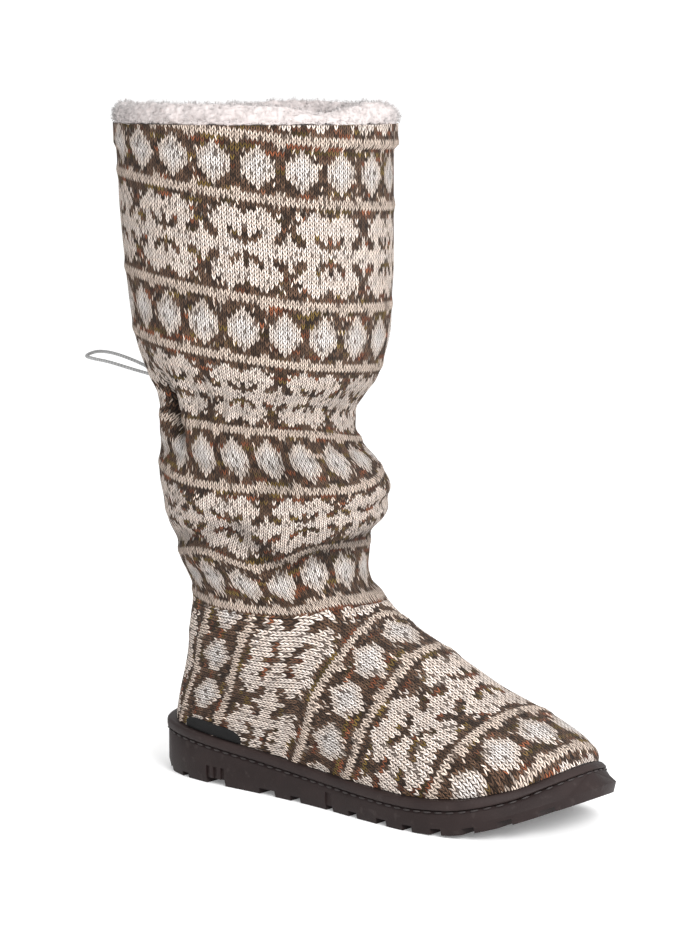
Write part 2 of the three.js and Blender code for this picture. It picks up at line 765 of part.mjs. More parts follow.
// Elastic draw cord: out of the waist, through the lock, round a free loop and back.
// The loop is rolled a little, so the inner strand lies higher than the outer one.
const CORD_ROUTE = table('out across up roll', [
  [-LOCK_RADIUS - 0.9, STRAND_OFFSET, 0, 0],
  [-LOCK_RADIUS + 2, STRAND_OFFSET, 0, 0],
  [0, STRAND_OFFSET, 0, 0],
  [LOCK_RADIUS, STRAND_OFFSET, 0, 0],
  [LOCK_RADIUS + 8, STRAND_OFFSET + 0.5, 0.1, 0.4],
  [LOCK_RADIUS + 22, STRAND_OFFSET + 1.7, 0, 1.3],
  [LOCK_RADIUS + LOOP_REACH - 18, LOOP_RADIUS - 0.9, -0.9, 1.5],
  [LOCK_RADIUS + LOOP_REACH - 7, LOOP_RADIUS, -2.4, 1.4],
  [LOCK_RADIUS + LOOP_REACH - 1.6, LOOP_RADIUS * 0.72, -3.4, 1.0],
  [LOCK_RADIUS + LOOP_REACH, 0, -3.8, 0],
]);
const strand = (side) => CORD_ROUTE.map(
  (row) => new THREE.Vector3(-row.out, side * row.across, row.up + side * row.roll),
);
const wayBack = strand(-1).slice(0, -1).reverse();
const cordCurve = new THREE.CatmullRomCurve3([...strand(1), ...wayBack], false, 'centripetal');
const cordCorner = (i) => {
  const turn = ((2 * i + 1) * Math.PI) / CORD_SIDES;
  return new THREE.Vector2(Math.cos(turn), Math.sin(turn)).multiplyScalar(CORD_DIAMETER / 2);
};
const cordSection = new THREE.Shape(Array.from({ length: CORD_SIDES }, (_, i) => cordCorner(i)));
const cordBody = new THREE.ExtrudeGeometry(cordSection, { steps: CORD_STEPS, extrudePath: cordCurve });
addPart('draw_cord', cleaned(cordBody), material(COLOUR.cord, 0.7), lock);

boot.position.set(-FOOTPRINT_MIDDLE, 0, 0);

export default boot;
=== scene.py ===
"""Looks of a knit slipper boot for the right foot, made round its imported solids.

Shapes are worked out in millimetres in the boot's own frame: toe along +X, inner side along +Y, up along +Z,
with the heel of the upper near X = 0. A share u goes round the boot from the heel (0) by the outer side to
the toe or shin (one half) and back by the inner side.
"""
import functools
import math

import bmesh
import bpy
import numpy as np
from mathutils import Matrix, Vector


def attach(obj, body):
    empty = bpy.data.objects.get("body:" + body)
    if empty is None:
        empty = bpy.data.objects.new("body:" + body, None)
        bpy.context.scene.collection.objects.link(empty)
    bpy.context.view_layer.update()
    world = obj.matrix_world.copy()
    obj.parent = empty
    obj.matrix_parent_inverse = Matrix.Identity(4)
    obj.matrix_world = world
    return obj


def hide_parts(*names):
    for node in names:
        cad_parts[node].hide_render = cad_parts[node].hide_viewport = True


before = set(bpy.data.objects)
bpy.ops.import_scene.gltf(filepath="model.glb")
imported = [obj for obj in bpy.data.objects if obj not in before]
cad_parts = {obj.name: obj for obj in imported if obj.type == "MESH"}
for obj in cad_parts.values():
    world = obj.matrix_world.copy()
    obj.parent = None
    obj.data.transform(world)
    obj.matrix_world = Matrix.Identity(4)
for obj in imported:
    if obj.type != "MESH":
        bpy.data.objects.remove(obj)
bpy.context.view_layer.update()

# Main sizes, as in the solids.
MIDDLE = 115.2
SOLE_LENGTH = 266.0
SOLE_HEEL = -4.0
KNIT_TOP = 342.0
WALL = 3.0
GAP = 0.3
WELT_THICK = 5.0
LUG_DEEP = 5.0
LUG_TAPER = 1.2
TOE_LEAN = 9.0
TOE_LEAN_FROM = 205.0
WELT_LOW_LEAN = 0.6
PANEL_TALL = 9.5
BEVEL_ACROSS = 1.0
BEVEL_TALL = 1.6
INSOLE_THICK = 5.0
INSOLE_CLEAR = 1.4
EDGE_LEVEL = 24.0
END_CLEAR = 0.02
PLAIN_STATIONS = 240
FOLD_GIRTH = 330.0
FOLD_END = 0.55
FOLD_EASE = 1.8

# Cord lock and draw cord.
LOCK_HEIGHT = 203.0
LOCK_SIDE = 4.0
LOCK_STAND = 1.2
LOCK_RADIUS = 6.5
LOCK_LENGTH = 15.0
LOCK_FLOOR = 2.6
LOCK_TILT = math.radians(14)
BORE_RADIUS = 4.6
BUTTON_RADIUS = 4.3
BUTTON_PROUD = 4.6
BUTTON_TRAVEL = 3.0
CORD_DIAMETER = 1.8
STRAND_OFFSET = 1.5
CORD_CLEAR = 0.4
LOOP_REACH = 57.0
LOOP_RADIUS = 5.4
BRAID_AROUND = 4
BRAID_ALONG = 70

# Heel tab.
TAB_FROM = 26.0
TAB_TO = 66.0
TAB_TALL = 6.2
TAB_END = 0.4
TAB_THICK = 1.0
TAB_SWELL = 0.35
TAB_RIM = 1.2
TAB_LEVEL = 34.0

# Points round each knit wall, and its rows up the outside and down the inside.
SHAFT_GRID = (400, 190, 40)
FOOT_GRID = (480, 66, 16)

# Knit gauge: stitches round the shaft, width of a stitch on the foot, rows in one repeat of the bands.
SHAFT_STITCHES = 180
FOOT_STITCH = 2.7
REPEAT_ROWS = 37
STAR_STITCHES = 18
STAR_MIDDLE = 26
STAR_TALL = 9
LOZENGE_STITCHES = 9
LOZENGE_MIDDLE = 7.5
LOZENGE_WIDE = 3.6
LOZENGE_TALL = 5
FOOT_REPEAT = 8
ANKLE_ROW = 128.0

# Spread of the shaft's stitches where its lower part is slack, and over the slouch at the shin.
SLACK = 0.3
SLACK_FROM = 200.0
SLACK_REACH = 80.0
SLACK_SHARE = 0.356
SLOUCH_TOP = 190.0
SLOUCH_FRONT = 101.5
SLOUCH_REACH = 23.0
SLOUCH_STITCHES = 4.5

# Raised stripes: the rows at their middles, their rise and their half width in rows.
STRIPE_MIDDLES = (1, 15, REPEAT_ROWS + 1)
RIDGE_RISE = 0.8
RIDGE_ROWS = 1.25


def table(columns, rows):
    """Columns of numbers by name."""
    return dict(zip(columns.split(), np.array(rows, float).T))


SOLE_OUTLINE = table("share outer inner", [
    (0, 0, 0),
    (0.03, 22, 21),
    (0.09, 33, 31.5),
    (0.18, 38, 35.5),
    (0.32, 39.5, 35.5),
    (0.46, 42.5, 34.5),
    (0.6, 49, 38),
    (0.73, 53, 44.5),
    (0.84, 49.5, 46.5),
    (0.92, 38.5, 41.5),
    (0.975, 21, 29),
    (1, -5, 5),
])
SOLE_PROFILE = table("share top tread", [
    (0, 28.5, 4.5),
    (0.03, 28.2, 1.4),
    (0.075, 27.5, 0),
    (0.3, 22.5, 0),
    (0.5, 18.5, 0),
    (0.7, 17, 0),
    (0.8, 18.5, 1.2),
    (0.9, 24.2, 7.5),
    (0.966, 33, 14.2),
    (1, 38.5, 18),
])
LUG_GAPS = table("start wide deep inset ribs", [
    (7, 5, 2.6, 0, 0),
    (24, 5, 2.6, 0, 0),
    (44, 13, 3.2, 1.2, 2),
    (81, 11, 3.2, 0, 0),
    (103, 7, 2.8, 0, 0),
    (129, 5, 2.6, 1, 0),
    (146, 6, 3, 0, 0),
    (166, 7, 3.2, 0, 0),
    (184, 6, 3.2, 0, 0),
    (201, 6, 3.2, 0, 0),
    (218, 6, 3.2, 0, 0),
    (234, 6, 3.2, 0, 0),
    (249, 5, 2.6, 0, 0),
])
LEVELS = table("height back front outer inner oval egg", [
    (14, 1, 252.3, 49.4, 43.2, 0, 1),
    (30, 1, 252.6, 49.7, 43.4, 0.02, 1),
    (38, 2, 247.8, 49.2, 43.2, 0.1, 1),
    (45, 3.2, 237.4, 48.2, 42.8, 0.25, 1),
    (52, 4.8, 222.4, 46.6, 42.2, 0.45, 1.03),
    (60, 6.8, 202.5, 44.6, 41.2, 0.66, 1.08),
    (68, 8.8, 188.5, 42.6, 39.6, 0.85, 1.15),
    (76, 10.4, 174, 40.8, 38.4, 1, 1.18),
    (84, 11.4, 154, 39.4, 37.6, 1, 1.14),
    (92, 11.8, 136.8, 38.6, 37, 1, 1.06),
    (100, 11.4, 125.5, 38.6, 37, 1, 1),
    (108, 8.2, 116, 39.8, 38, 1, 1),
    (116, 3.6, 113.4, 42.2, 40.5, 1, 1),
    (124, 0, 114.5, 45, 43, 1, 1),
    (134, -1.2, 119.5, 48.2, 46.5, 1, 1),
    (144, -2.4, 124, 51, 49.5, 1, 1),
    (156, -3.6, 124.5, 53, 51.5, 1, 1),
    (168, -4.6, 116, 51.6, 50.5, 1, 1),
    (178, -5.6, 105.5, 49, 48.5, 1, 1),
    (186, -5.6, 101.5, 47.4, 47, 1, 1),
    (194, -4.8, 101.5, 47.2, 47, 1, 1),
    (202, -5.6, 106.5, 50, 49, 1, 1),
    (212, -11, 114.5, 55, 54, 1, 1),
    (226, -17.4, 118.5, 58.6, 58, 1, 1),
    (244, -21.4, 121, 61.2, 60.5, 1, 1),
    (270, -25, 123.5, 63.2, 62.5, 1, 1),
    (300, -28, 123, 64.4, 64, 1, 1),
    (329, -30, 123, 64.8, 64.4, 1, 1),
    (332, -31.4, 125, 66.2, 66.2, 1, 1),
    (342, -31.6, 125.4, 66.4, 66.4, 1, 1),
])
SEAM_LINE = table("along height", [
    (-10, 72),
    (55, 72),
    (75, 75),
    (95, 83),
    (110, 92),
    (125, 99),
])

# Slouch folds of the solids: each runs from one place to the other, and a trough has a negative rise.
FOLDS = table("start low end high rise width", [
    (0.06, 121, 0.28, 137, -3.4, 7),
    (0.28, 137, 0.345, 119, -3.2, 6),
    (0.345, 119, 0.58, 133, -4, 7),
    (0.58, 133, 0.8, 125, -3.4, 7),
    (0.8, 125, 1.06, 121, -3, 7),
    (0.315, 152, 0.39, 171, -2.6, 6),
    (0.12, 160, 0.27, 148, 2.2, 9),
    (0.4, 150, 0.55, 158, 2.4, 9),
    (0.63, 168, 0.78, 152, -2.4, 7),
    (0.88, 158, 0.98, 172, -2.2, 7),
    (0.2, 226, 0.33, 217, 1.8, 9),
    (0.52, 232, 0.66, 240, 1.6, 12),
])

# Finer creases that only the looks have, in the same form.
CREASES = table("start low end high rise width", [
    (0.183, 211, 0.186, 196, -7, 4.8),
    (0.186, 196, 0.207, 182, -6.5, 4.8),
    (0.152, 196, 0.156, 181, 2.2, 6),
    (0.228, 214, 0.235, 190, 1.6, 3.6),
    (0.258, 208, 0.262, 190, -1.6, 3.2),
    (0.115, 210, 0.12, 188, -2.2, 3.6),
    (0.075, 208, 0.07, 190, -1.6, 3.2),
    (0.93, 210, 0.925, 188, -2, 3.6),
    (0.86, 208, 0.87, 190, -1.6, 3.4),
    (0.1, 176, 0.3, 168, -1.8, 4),
    (0.3, 168, 0.42, 176, -1.7, 4),
    (0.4, 146, 0.6, 151, -2, 3.5),
    (0.45, 166, 0.58, 171, 1.4, 4.5),
    (0.12, 142, 0.25, 132, 1.6, 4.5),
    (0.37, 112, 0.52, 121, 1.4, 4),
    (0.14, 108, 0.27, 112, -1, 4),
    (0.3, 104, 0.45, 108, 0.9, 4.5),
    (0.7, 178, 0.84, 170, -1.2, 4),
    (0.66, 142, 0.82, 136, 1.2, 4.5),
    (0.86, 148, 1.02, 140, -1.2, 4),
    (0.06, 318, 0.09, 262, -0.8, 7),
])

# Gathers of the cinched waist.
GATHER_HEIGHT = 199.0
GATHER_REACH = 15.0
GATHER_RISE = 1.1
GATHER_COUNT = 26
GATHER_STRONGEST = 0.17

# Depth of a trough whose knit gets the full painted shade, and how dark that painted shade makes it.
SHADE_DEPTH = 6.5
SHADE_EASE = 1.3
SHADE_SHARE = 0.92

# Stitch at the middle of a lozenge and of a star in each repeat of the bands: shaft first, then foot.
BAND_PHASES = table("repeat lozenge star", [
    (0, 0, 6),
    (1, 5, 4),
    (2, 2, 16),
    (3, 0, 6),
    (FOOT_REPEAT, 0, 1),
    (FOOT_REPEAT + 1, 8, 0),
    (FOOT_REPEAT + 2, 7, 0),
])

# Stitches to either side of the foot's ridge: counted at an even width, and as the stretched knit has them.
FOOT_SPREAD = table("even knit", [
    (0, 0),
    (11.3, 9),
    (20, 18),
    (27.7, 27),
    (35, 36.5),
    (48, 52),
])

# Light stripes round the shaft: the knit row at their middle, and their height at six shares round it.
STRIPE_SHARES = (0.106, 0.23, 0.315, 0.43, 0.606, 0.86)
SHAFT_STRIPES = table("row back side near shin inner far", [
    (-22, 400, 395.5, 390.2, 384.6, 382.6, 392),
    (1, 349, 344.5, 339.2, 333.6, 331.6, 341),
    (15, 318, 313.6, 308.5, 302.8, 300.5, 310),
    (38, 268, 263.4, 258, 251.6, 249.5, 259.5),
    (52, 236, 231.4, 226.6, 221, 218, 228),
    (75, 191.5, 190.5, 188.5, 186, 179, 186),
    (89, 166.5, 160.5, 159.7, 158.8, 166.5, 167),
    (112, 119, 124, 117.8, 129, 127, 121),
    (126, 98, 96, 96.5, 102, 102, 98),
    (149, 52, 50, 50.5, 56, 56, 52),
])

# Light stripes across the foot: the knit row and its place along the foot, on a plane that leans forward.
FOOT_STRIPES = table("row along", [
    (-36, -95),
    (-22, -54),
    (1, 11),
    (15, 44.5),
    (38, 105),
    (52, 143.5),
    (75, 199.8),
    (89, 236),
    (112, 292),
])

# Knit of the foot: an arc over its chord, the drop of its sides, its heel and the lean of its rows.
CHORD_ROUND = 1.06
SIDE_DROP = 1.1
HEEL_CENTRE = 48.0
HEEL_TOP = 97.0
HEEL_TOP_CHORD = 26.0
HEEL_CHORD_RISE = 0.88
HEEL_KNIT_FROM = 95.0
HEEL_KNIT_REACH = 35.0
FOOT_LEAN = 0.46
FOOT_LEAN_FROM = 20.0
FOOT_LEAN_TOP = 62.0
FOOT_LEAN_SOFT = 6.0
ANKLE_LEAN_TOP = 102.0
ANKLE_LEAN_FROM = 115.0
ANKLE_LEAN_TO = 150.0

# Fleece cuff: out from the level section, up from the knit's top edge, and how far it waves.
CUFF_DEEP = 46.0
CUFF_THICK = 8.5
CUFF_RISE = 9.6
CUFF_INSIDE = -WALL - GAP - CUFF_THICK
CUFF_BACK = -WALL - GAP
CUFF_PROFILE = table("out up wave", [
    (CUFF_INSIDE, -CUFF_DEEP, 0),
    (CUFF_BACK, -CUFF_DEEP, 0),
    (CUFF_BACK, -30, 0),
    (CUFF_BACK, -14, 0),
    (CUFF_BACK, GAP, 0),
    (-1.4, GAP + 0.2, 0),
    (-0.4, CUFF_RISE * 0.4, 0.3),
    (-1.8, CUFF_RISE * 0.8, 0.8),
    (-5.4, CUFF_RISE, 1),
    (-9.4, CUFF_RISE * 0.85, 0.8),
    (CUFF_INSIDE, 2, 0.2),
    (CUFF_INSIDE, -18, 0),
    (CUFF_INSIDE, -32, 0),
])
CUFF_WAVES = table("share width rise", [
    (0.26, 0.07, 1.2),
    (0.43, 0.035, -3.4),
    (0.52, 0.035, 1.8),
    (0.62, 0.05, -1.2),
    (0.78, 0.06, 1.4),
    (0.92, 0.05, -1.6),
    (0.08, 0.05, 0.6),
])

# Lumps and tufts of the fleece.
LUMPS = table("rise size seed", [
    (0.9, 7, 11),
    (0.7, 3.2, 12),
    (0.4, 1.7, 13),
])
TUFTS = 9000
TUFT_SEED = 5
TUFT_LENGTH = 3.2
TUFT_RADIUS = 0.2


def cubic(t, start, end, slope_start, slope_end):
    """A value on the way from a start to an end, with given slopes at both."""
    line = (1 + 2 * t) * (1 - t) ** 2 * start + t * t * (3 - 2 * t) * end
    return line + t * (1 - t) ** 2 * slope_start + t * t * (t - 1) * slope_end


def curve(xs, ys):
    """A smooth line through points that never swings past them."""
    xs, ys = np.asarray(xs, float), np.asarray(ys, float)
    step = np.diff(xs)
    rise = np.diff(ys) / step
    slope = np.zeros_like(xs)
    slope[0], slope[-1] = rise[0], rise[-1]
    before, after = rise[:-1], rise[1:]
    turns = before * after <= 0
    near = 2 * step[1:] + step[:-1]
    far = step[1:] + 2 * step[:-1]
    share = near / np.where(turns, 1, before) + far / np.where(turns, 1, after)
    slope[1:-1] = np.where(turns, 0, (near + far) / np.where(turns, 1, share))

    def at(q):
        p = np.clip(q, xs[0], xs[-1])
        k = np.clip(np.searchsorted(xs, p) - 1, 0, len(step) - 1)
        t = (p - xs[k]) / step[k]
        return cubic(t, ys[k], ys[k + 1], step[k] * slope[k], step[k] * slope[k + 1])

    return at


level = {name: curve(LEVELS["height"], LEVELS[name]) for name in LEVELS if name != "height"}
seam_height = curve(SEAM_LINE["along"], SEAM_LINE["height"])
sole_along = SOLE_HEEL + SOLE_LENGTH * SOLE_PROFILE["share"]
sole_top = curve(sole_along, SOLE_PROFILE["top"])
tread = curve(sole_along, SOLE_PROFILE["tread"])


def ease(share):
    """Soft step from 0 to 1."""
    share = np.clip(share, 0, 1)
    return share * share * (3 - 2 * share)


def unit(ways):
    return ways / np.linalg.norm(ways, axis=-1, keepdims=True)


def run_along(points, power=1.0):
    """Length from the first point of a line to each of its points, or the sum of a power of its steps."""
    return np.concatenate([[0], np.cumsum(np.linalg.norm(np.diff(points, axis=0), axis=1) ** power)])


def closed_curve(points, steps):
    """Points of a smooth closed curve through the given ones, a number of steps from each to the next."""
    before, after = np.roll(points, 1, 0), np.roll(points, -1, 0)
    slope = (after - before) / 2
    t = np.linspace(0, 1, steps, endpoint=False)[None, :, None]
    line = cubic(t, points[:, None], after[:, None], slope[:, None], np.roll(slope, -1, 0)[:, None])
    return line.reshape(-1, points.shape[1])


def outline_points():
    """Fine plan points of the sole, their lengths from the heel, and the place of the toe among them."""
    steps = 80
    x = SOLE_HEEL + SOLE_OUTLINE["share"] * SOLE_LENGTH
    outer = np.stack([x, -SOLE_OUTLINE["outer"]], -1)
    inner = np.stack([x, SOLE_OUTLINE["inner"]], -1)[1:-1][::-1]
    fine = closed_curve(np.concatenate([outer, inner]), steps)
    fine = np.concatenate([fine, fine[:1]])
    return fine, run_along(fine), steps * (len(outer) - 1)


FINE, FINE_LENGTH, TOE = outline_points()
WIDEST_OUTER = -FINE[:, 1].min()
WIDEST_INNER = FINE[:, 1].max()


def outline_at(u):
    """Plan point of the sole's outline at share u."""
    share = np.mod(u, 1)
    toe, whole = FINE_LENGTH[TOE], FINE_LENGTH[-1]
    run = np.where(share < 0.5, share * 2 * toe, toe + (share - 0.5) * 2 * (whole - toe))
    return np.stack([np.interp(run, FINE_LENGTH, FINE[:, i]) for i in (0, 1)], -1)


def fold_rise(folds, u, z):
    """Height of a table of folds over the plain sections."""
    total = np.zeros(np.broadcast(u, z).shape)
    for start, low, end, high, rise, width in zip(*folds.values()):
        run = np.array([(end - start) * FOLD_GIRTH, high - low])
        for turn in (-1, 0, 1):
            along = (u + turn - start) * FOLD_GIRTH
            up = z - low
            t = np.clip((along * run[0] + up * run[1]) / (run @ run), 0, 1)
            off = np.hypot(along - t * run[0], up - t * run[1])
            fade = np.minimum(1, FOLD_END + FOLD_EASE * np.minimum(t, 1 - t))
            total = total + rise * fade * np.exp(-((off / width) ** 2))
    return total


def gather_rise(u, z):
    """Upright gathers round the waist, strongest at the outer back."""
    turn = 2 * np.pi
    wander = 0.35 * np.sin(turn * 3 * u + 0.7) + 0.25 * np.sin(turn * 7 * u)
    strength = 0.75 + 0.35 * np.cos(turn * (u - GATHER_STRONGEST))
    fade = np.exp(-(((z - GATHER_HEIGHT) / GATHER_REACH) ** 2))
    return GATHER_RISE * strength * fade * np.sin(turn * (GATHER_COUNT * u + wander))


def section(u, z):
    """Plain section of the upper at share u and height z."""
    u, z = np.broadcast_arrays(np.asarray(u, float), np.asarray(z, float))
    foot = outline_at(u)
    angle = 2 * np.pi * u
    oval = level["oval"](z)
    foot_along = (foot[..., 0] - SOLE_HEEL) / SOLE_LENGTH
    foot_across = np.where(foot[..., 1] < 0, foot[..., 1] / WIDEST_OUTER, foot[..., 1] / WIDEST_INNER)
    along = foot_along + oval * (((1 - np.cos(angle)) / 2) ** level["egg"](z) - foot_along)
    across = foot_across + oval * (-np.sin(angle) - foot_across)
    x = level["back"](z) + (level["front"](z) - level["back"](z)) * along
    y = across * np.where(across < 0, level["outer"](z), level["inner"](z))
    return np.stack([x, y, z], -1)


def normal_of(surface, u, z):
    """Outward direction of a surface, from short steps round it and up it."""
    step_round, step_up = 0.004, 0.6
    around = surface(u + step_round, z) - surface(u - step_round, z)
    upward = surface(u, z + step_up) - surface(u, z - step_up)
    return unit(np.cross(around, upward))


def skin(u, z):
    """Outside of the upper with the folds of the solids."""
    rise = fold_rise(FOLDS, u, z)
    return section(u, z) + normal_of(section, u, z) * rise[..., None]


def dressed(u, z):
    """Outside of the upper with folds, finer creases and gathers."""
    rise = fold_rise(CREASES, u, z) + gather_rise(u, z)
    return skin(u, z) + normal_of(skin, u, z) * rise[..., None]


def inset(u, z, depth):
    return skin(u, z) - normal_of(skin, u, z) * depth


def seam_at(u):
    """Height of the ankle seam, found in a few rounds because the seam's line is given along the foot."""
    first_guess, rounds = 85.0, 6
    z = np.full(np.shape(u), first_guess)
    for _ in range(rounds):
        z = seam_height(section(u, z)[..., 0])
    return z


def edge_at(u):
    """Height of the upper's lower edge."""
    return sole_top(section(u, EDGE_LEVEL)[..., 0]) + GAP


def metres(points):
    return (np.asarray(points, float) - [MIDDLE, 0, 0]) / 1000


def value_noise(points, size, seed):
    """Smooth noise from -1 to 1 with lumps of a size, the same in each run."""
    cells = 32
    lattice = np.random.default_rng(seed).uniform(-1, 1, (cells, cells, cells))
    places = np.asarray(points) / size
    cell = np.floor(places).astype(int)
    share = ease(places - cell)
    total = np.zeros(places.shape[:-1])
    for corner in np.ndindex(2, 2, 2):
        weight = np.prod(np.abs(1 - np.array(corner) - share), -1)
        total += weight * lattice[tuple(np.moveaxis((cell + corner) % cells, -1, 0))]
    return total


def add_object(name, data):
    made = bpy.data.objects.new(name, data)
    bpy.context.scene.collection.objects.link(made)
    return made


def new_object(name, points, faces, materials, smooth=None):
    """A mesh object from points in millimetres. A smooth angle in degrees keeps sharper edges."""
    mesh = bpy.data.meshes.new(name)
    mesh.from_pydata(metres(points).tolist(), [], [list(map(int, f)) for f in faces])
    for material in materials:
        mesh.materials.append(material)
    mesh.update()
    mesh.shade_smooth()
    if smooth is not None:
        mesh.set_sharp_from_angle(angle=math.radians(smooth))
    return add_object(name, mesh)


def loop_faces(rows, columns, closed_rows):
    """Quads between rows of points, each row a closed loop."""
    row = np.arange(rows if closed_rows else rows - 1)
    column = np.arange(columns)
    a = row[:, None] * columns + column[None]
    b = row[:, None] * columns + (column[None] + 1) % columns
    following = (row[:, None] + 1) % rows * columns
    c = following + (column[None] + 1) % columns
    d = following + column[None]
    return np.stack([a, b, c, d], -1).reshape(-1, 4)


def tube_faces(rows, columns, turned_over=False):
    """Quads of a tube from rows of points, and a cap at each of its ends."""
    first = list(range(columns))
    last = [(rows - 1) * columns + k for k in first]
    faces = [*loop_faces(rows, columns, False).tolist(), first[::-1], last]
    return [face[::-1] for face in faces] if turned_over else faces


def stand_for(piece, node, body="boot"):
    """Puts a piece in the place of a solid, on its body."""
    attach(piece, body)
    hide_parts(node)
    return piece


class Nodes:
    """Short forms for the nodes of one tree."""

    def __init__(self, tree):
        self.tree = tree

    def put(self, socket, value):
        if isinstance(value, bpy.types.NodeSocket):
            self.tree.links.new(value, socket)
        else:
            socket.default_value = value

    def new(self, kind, inputs, output=0, **values):
        """One output of a new node, with its values set and its inputs set or linked."""
        made = self.tree.nodes.new(kind)
        for name, value in values.items():
            setattr(made, name, value)
        for socket, value in inputs.items():
            self.put(made.inputs[socket], value)
        return made.outputs[output]

    def do(self, operation, *values):
        return self.new("ShaderNodeMath", dict(enumerate(values)), operation=operation)

    add = functools.partialmethod(do, "ADD")
    sub = functools.partialmethod(do, "SUBTRACT")
    mul = functools.partialmethod(do, "MULTIPLY")
    size = functools.partialmethod(do, "ABSOLUTE")
    less = functools.partialmethod(do, "LESS_THAN")

    def near(self, a, b):
        """One where two whole numbers are the same."""
        return self.do("COMPARE", a, float(b), 0.5)

    def within(self, low, value, high):
        return self.mul(self.less(low, value), self.less(value, high))

    def both(self, *tests):
        return functools.reduce(self.mul, tests)

    def either(self, *tests):
        return functools.reduce(functools.partial(self.do, "MAXIMUM"), tests)

    def mix(self, share, a, b):
        a, b = ((*c, 1) if isinstance(c, tuple) else c for c in (a, b))
        return self.new("ShaderNodeMix", {"Factor": share, 6: a, 7: b}, 2, data_type="RGBA")

    def shade(self, colour, amount):
        """Colour times a number."""
        return self.new("ShaderNodeVectorMath", {0: colour, "Scale": amount}, operation="SCALE")

    def ramp(self, value, low, high):
        """Soft step from 0 at the low value to 1 at the high one."""
        inputs = {"Value": value, "From Min": low, "From Max": high}
        return self.new("ShaderNodeMapRange", inputs, interpolation_type="SMOOTHSTEP")

    def between(self, value, low, high):
        """A number from 0 to 1 brought between two others."""
        return self.new("ShaderNodeMapRange", {"Value": value, "To Min": low, "To Max": high})

    def tone(self, value, low, high, dark, light):
        """Dark colour below the low value, light colour above the high one."""
        return self.mix(self.ramp(value, low, high), dark, light)

    def mix_value(self, share, a, b):
        """Number a, or b where the share is one."""
        return self.add(a, self.mul(share, b - a))

    def place(self):
        return self.new("ShaderNodeTexCoord", {}, "Object")

    def noise(self, vector, scale, detail=2.0):
        return self.new("ShaderNodeTexNoise", {"Vector": vector, "Scale": scale, "Detail": detail})

    def chance(self, vector):
        return self.new("ShaderNodeTexWhiteNoise", {"Vector": vector}, noise_dimensions="2D")

    def vector(self, x, y):
        return self.new("ShaderNodeCombineXYZ", {0: x, 1: y})

    def split(self, vector):
        """The first two numbers of a vector."""
        return self.new("ShaderNodeSeparateXYZ", {0: vector}).node.outputs[:2]

    def layer(self, name):
        """The two numbers that a mesh carries in one of its layers."""
        return self.split(self.new("ShaderNodeUVMap", {}, uv_map=name))


class Maths(Nodes):
    """Short forms for the nodes and the finish of one material."""

    FINISH = {
        "specular": "Specular IOR Level",
        "sheen": "Sheen Weight",
        "sheen_roughness": "Sheen Roughness",
    }

    def __init__(self, name, roughness, **finish):
        self.material = bpy.data.materials.new(name)
        self.material.use_nodes = True
        super().__init__(self.material.node_tree)
        self.shader = self.tree.nodes["Principled BSDF"]
        self.shader.inputs["Roughness"].default_value = roughness
        for word, value in finish.items():
            self.shader.inputs[self.FINISH[word]].default_value = value

    def bump(self, height, distance, strength=1.0):
        inputs = {"Height": height, "Distance": distance, "Strength": strength}
        self.put(self.shader.inputs["Normal"], self.new("ShaderNodeBump", inputs))

    def colour(self, value):
        self.put(self.shader.inputs["Base Color"], value)


# Colours of the yarns, the pile, the rubber and the small pieces.
BROWN = (0.073, 0.042, 0.0265)
RUST = (0.150, 0.050, 0.023)
OLIVE = (0.104, 0.066, 0.018)
OAT = (0.76, 0.62, 0.52)
CREAM = (0.93, 0.785, 0.685)
PALE = (0.90, 0.84, 0.80)
# Painted shade in the grooves between stitches: near black over dark yarn; over pale yarn dark brown, partly
# painted shade and partly brown yarn showing between the stitches.
DARK_GROOVE_SHADE = (0.012, 0.007, 0.005)
PALE_GROOVE_FLOATS_AND_SHADE = (0.060, 0.038, 0.027)
# The fleece's first colour is painted shade for the hollows between its curls.
FLEECE_HOLLOW_SHADE = (0.46, 0.40, 0.387)
FLEECE_LIGHT = (0.555, 0.505, 0.495)
FLEECE_LUMP = (0.54, 0.488, 0.478)
CURL_DEEP = (0.515, 0.465, 0.456)
CURL_LIGHT = (0.57, 0.526, 0.517)
SOLE_DEEP = (0.0135, 0.0072, 0.0067)
SOLE_LIGHT = (0.0195, 0.0116, 0.0109)
WELT_DEEP = (0.018, 0.0105, 0.0098)
WELT_LIGHT = (0.026, 0.0165, 0.0152)
SCUFF = (0.07, 0.055, 0.052)
TAB_DEEP = (0.003, 0.003, 0.003)
TAB_LIGHT = (0.012, 0.0115, 0.012)
PLASTIC_DEEP = (0.56, 0.47, 0.33)
PLASTIC_LIGHT = (0.66, 0.57, 0.42)
CORD_DEEP = (0.25, 0.25, 0.25)
CORD_LIGHT = (0.45, 0.45, 0.45)
THREAD_DEEP = (0.012, 0.008, 0.008)
THREAD_LIGHT = (0.03, 0.021, 0.02)


def band_phase(m, turn, name):
    """The band table's stitch for the repeat a row is in."""
    total = 0.0
    for repeat, phase in zip(BAND_PHASES["repeat"], BAND_PHASES[name]):
        if phase:
            total = m.add(total, m.mul(m.near(turn, repeat), float(phase)))
    return total


def from_middle(m, stitch, phase, wide):
    """Stitches from the nearest middle of a figure that repeats round the row."""
    half = wide // 2
    return m.size(m.sub(m.do("FLOORED_MODULO", m.add(m.sub(stitch, phase), half), wide), half))


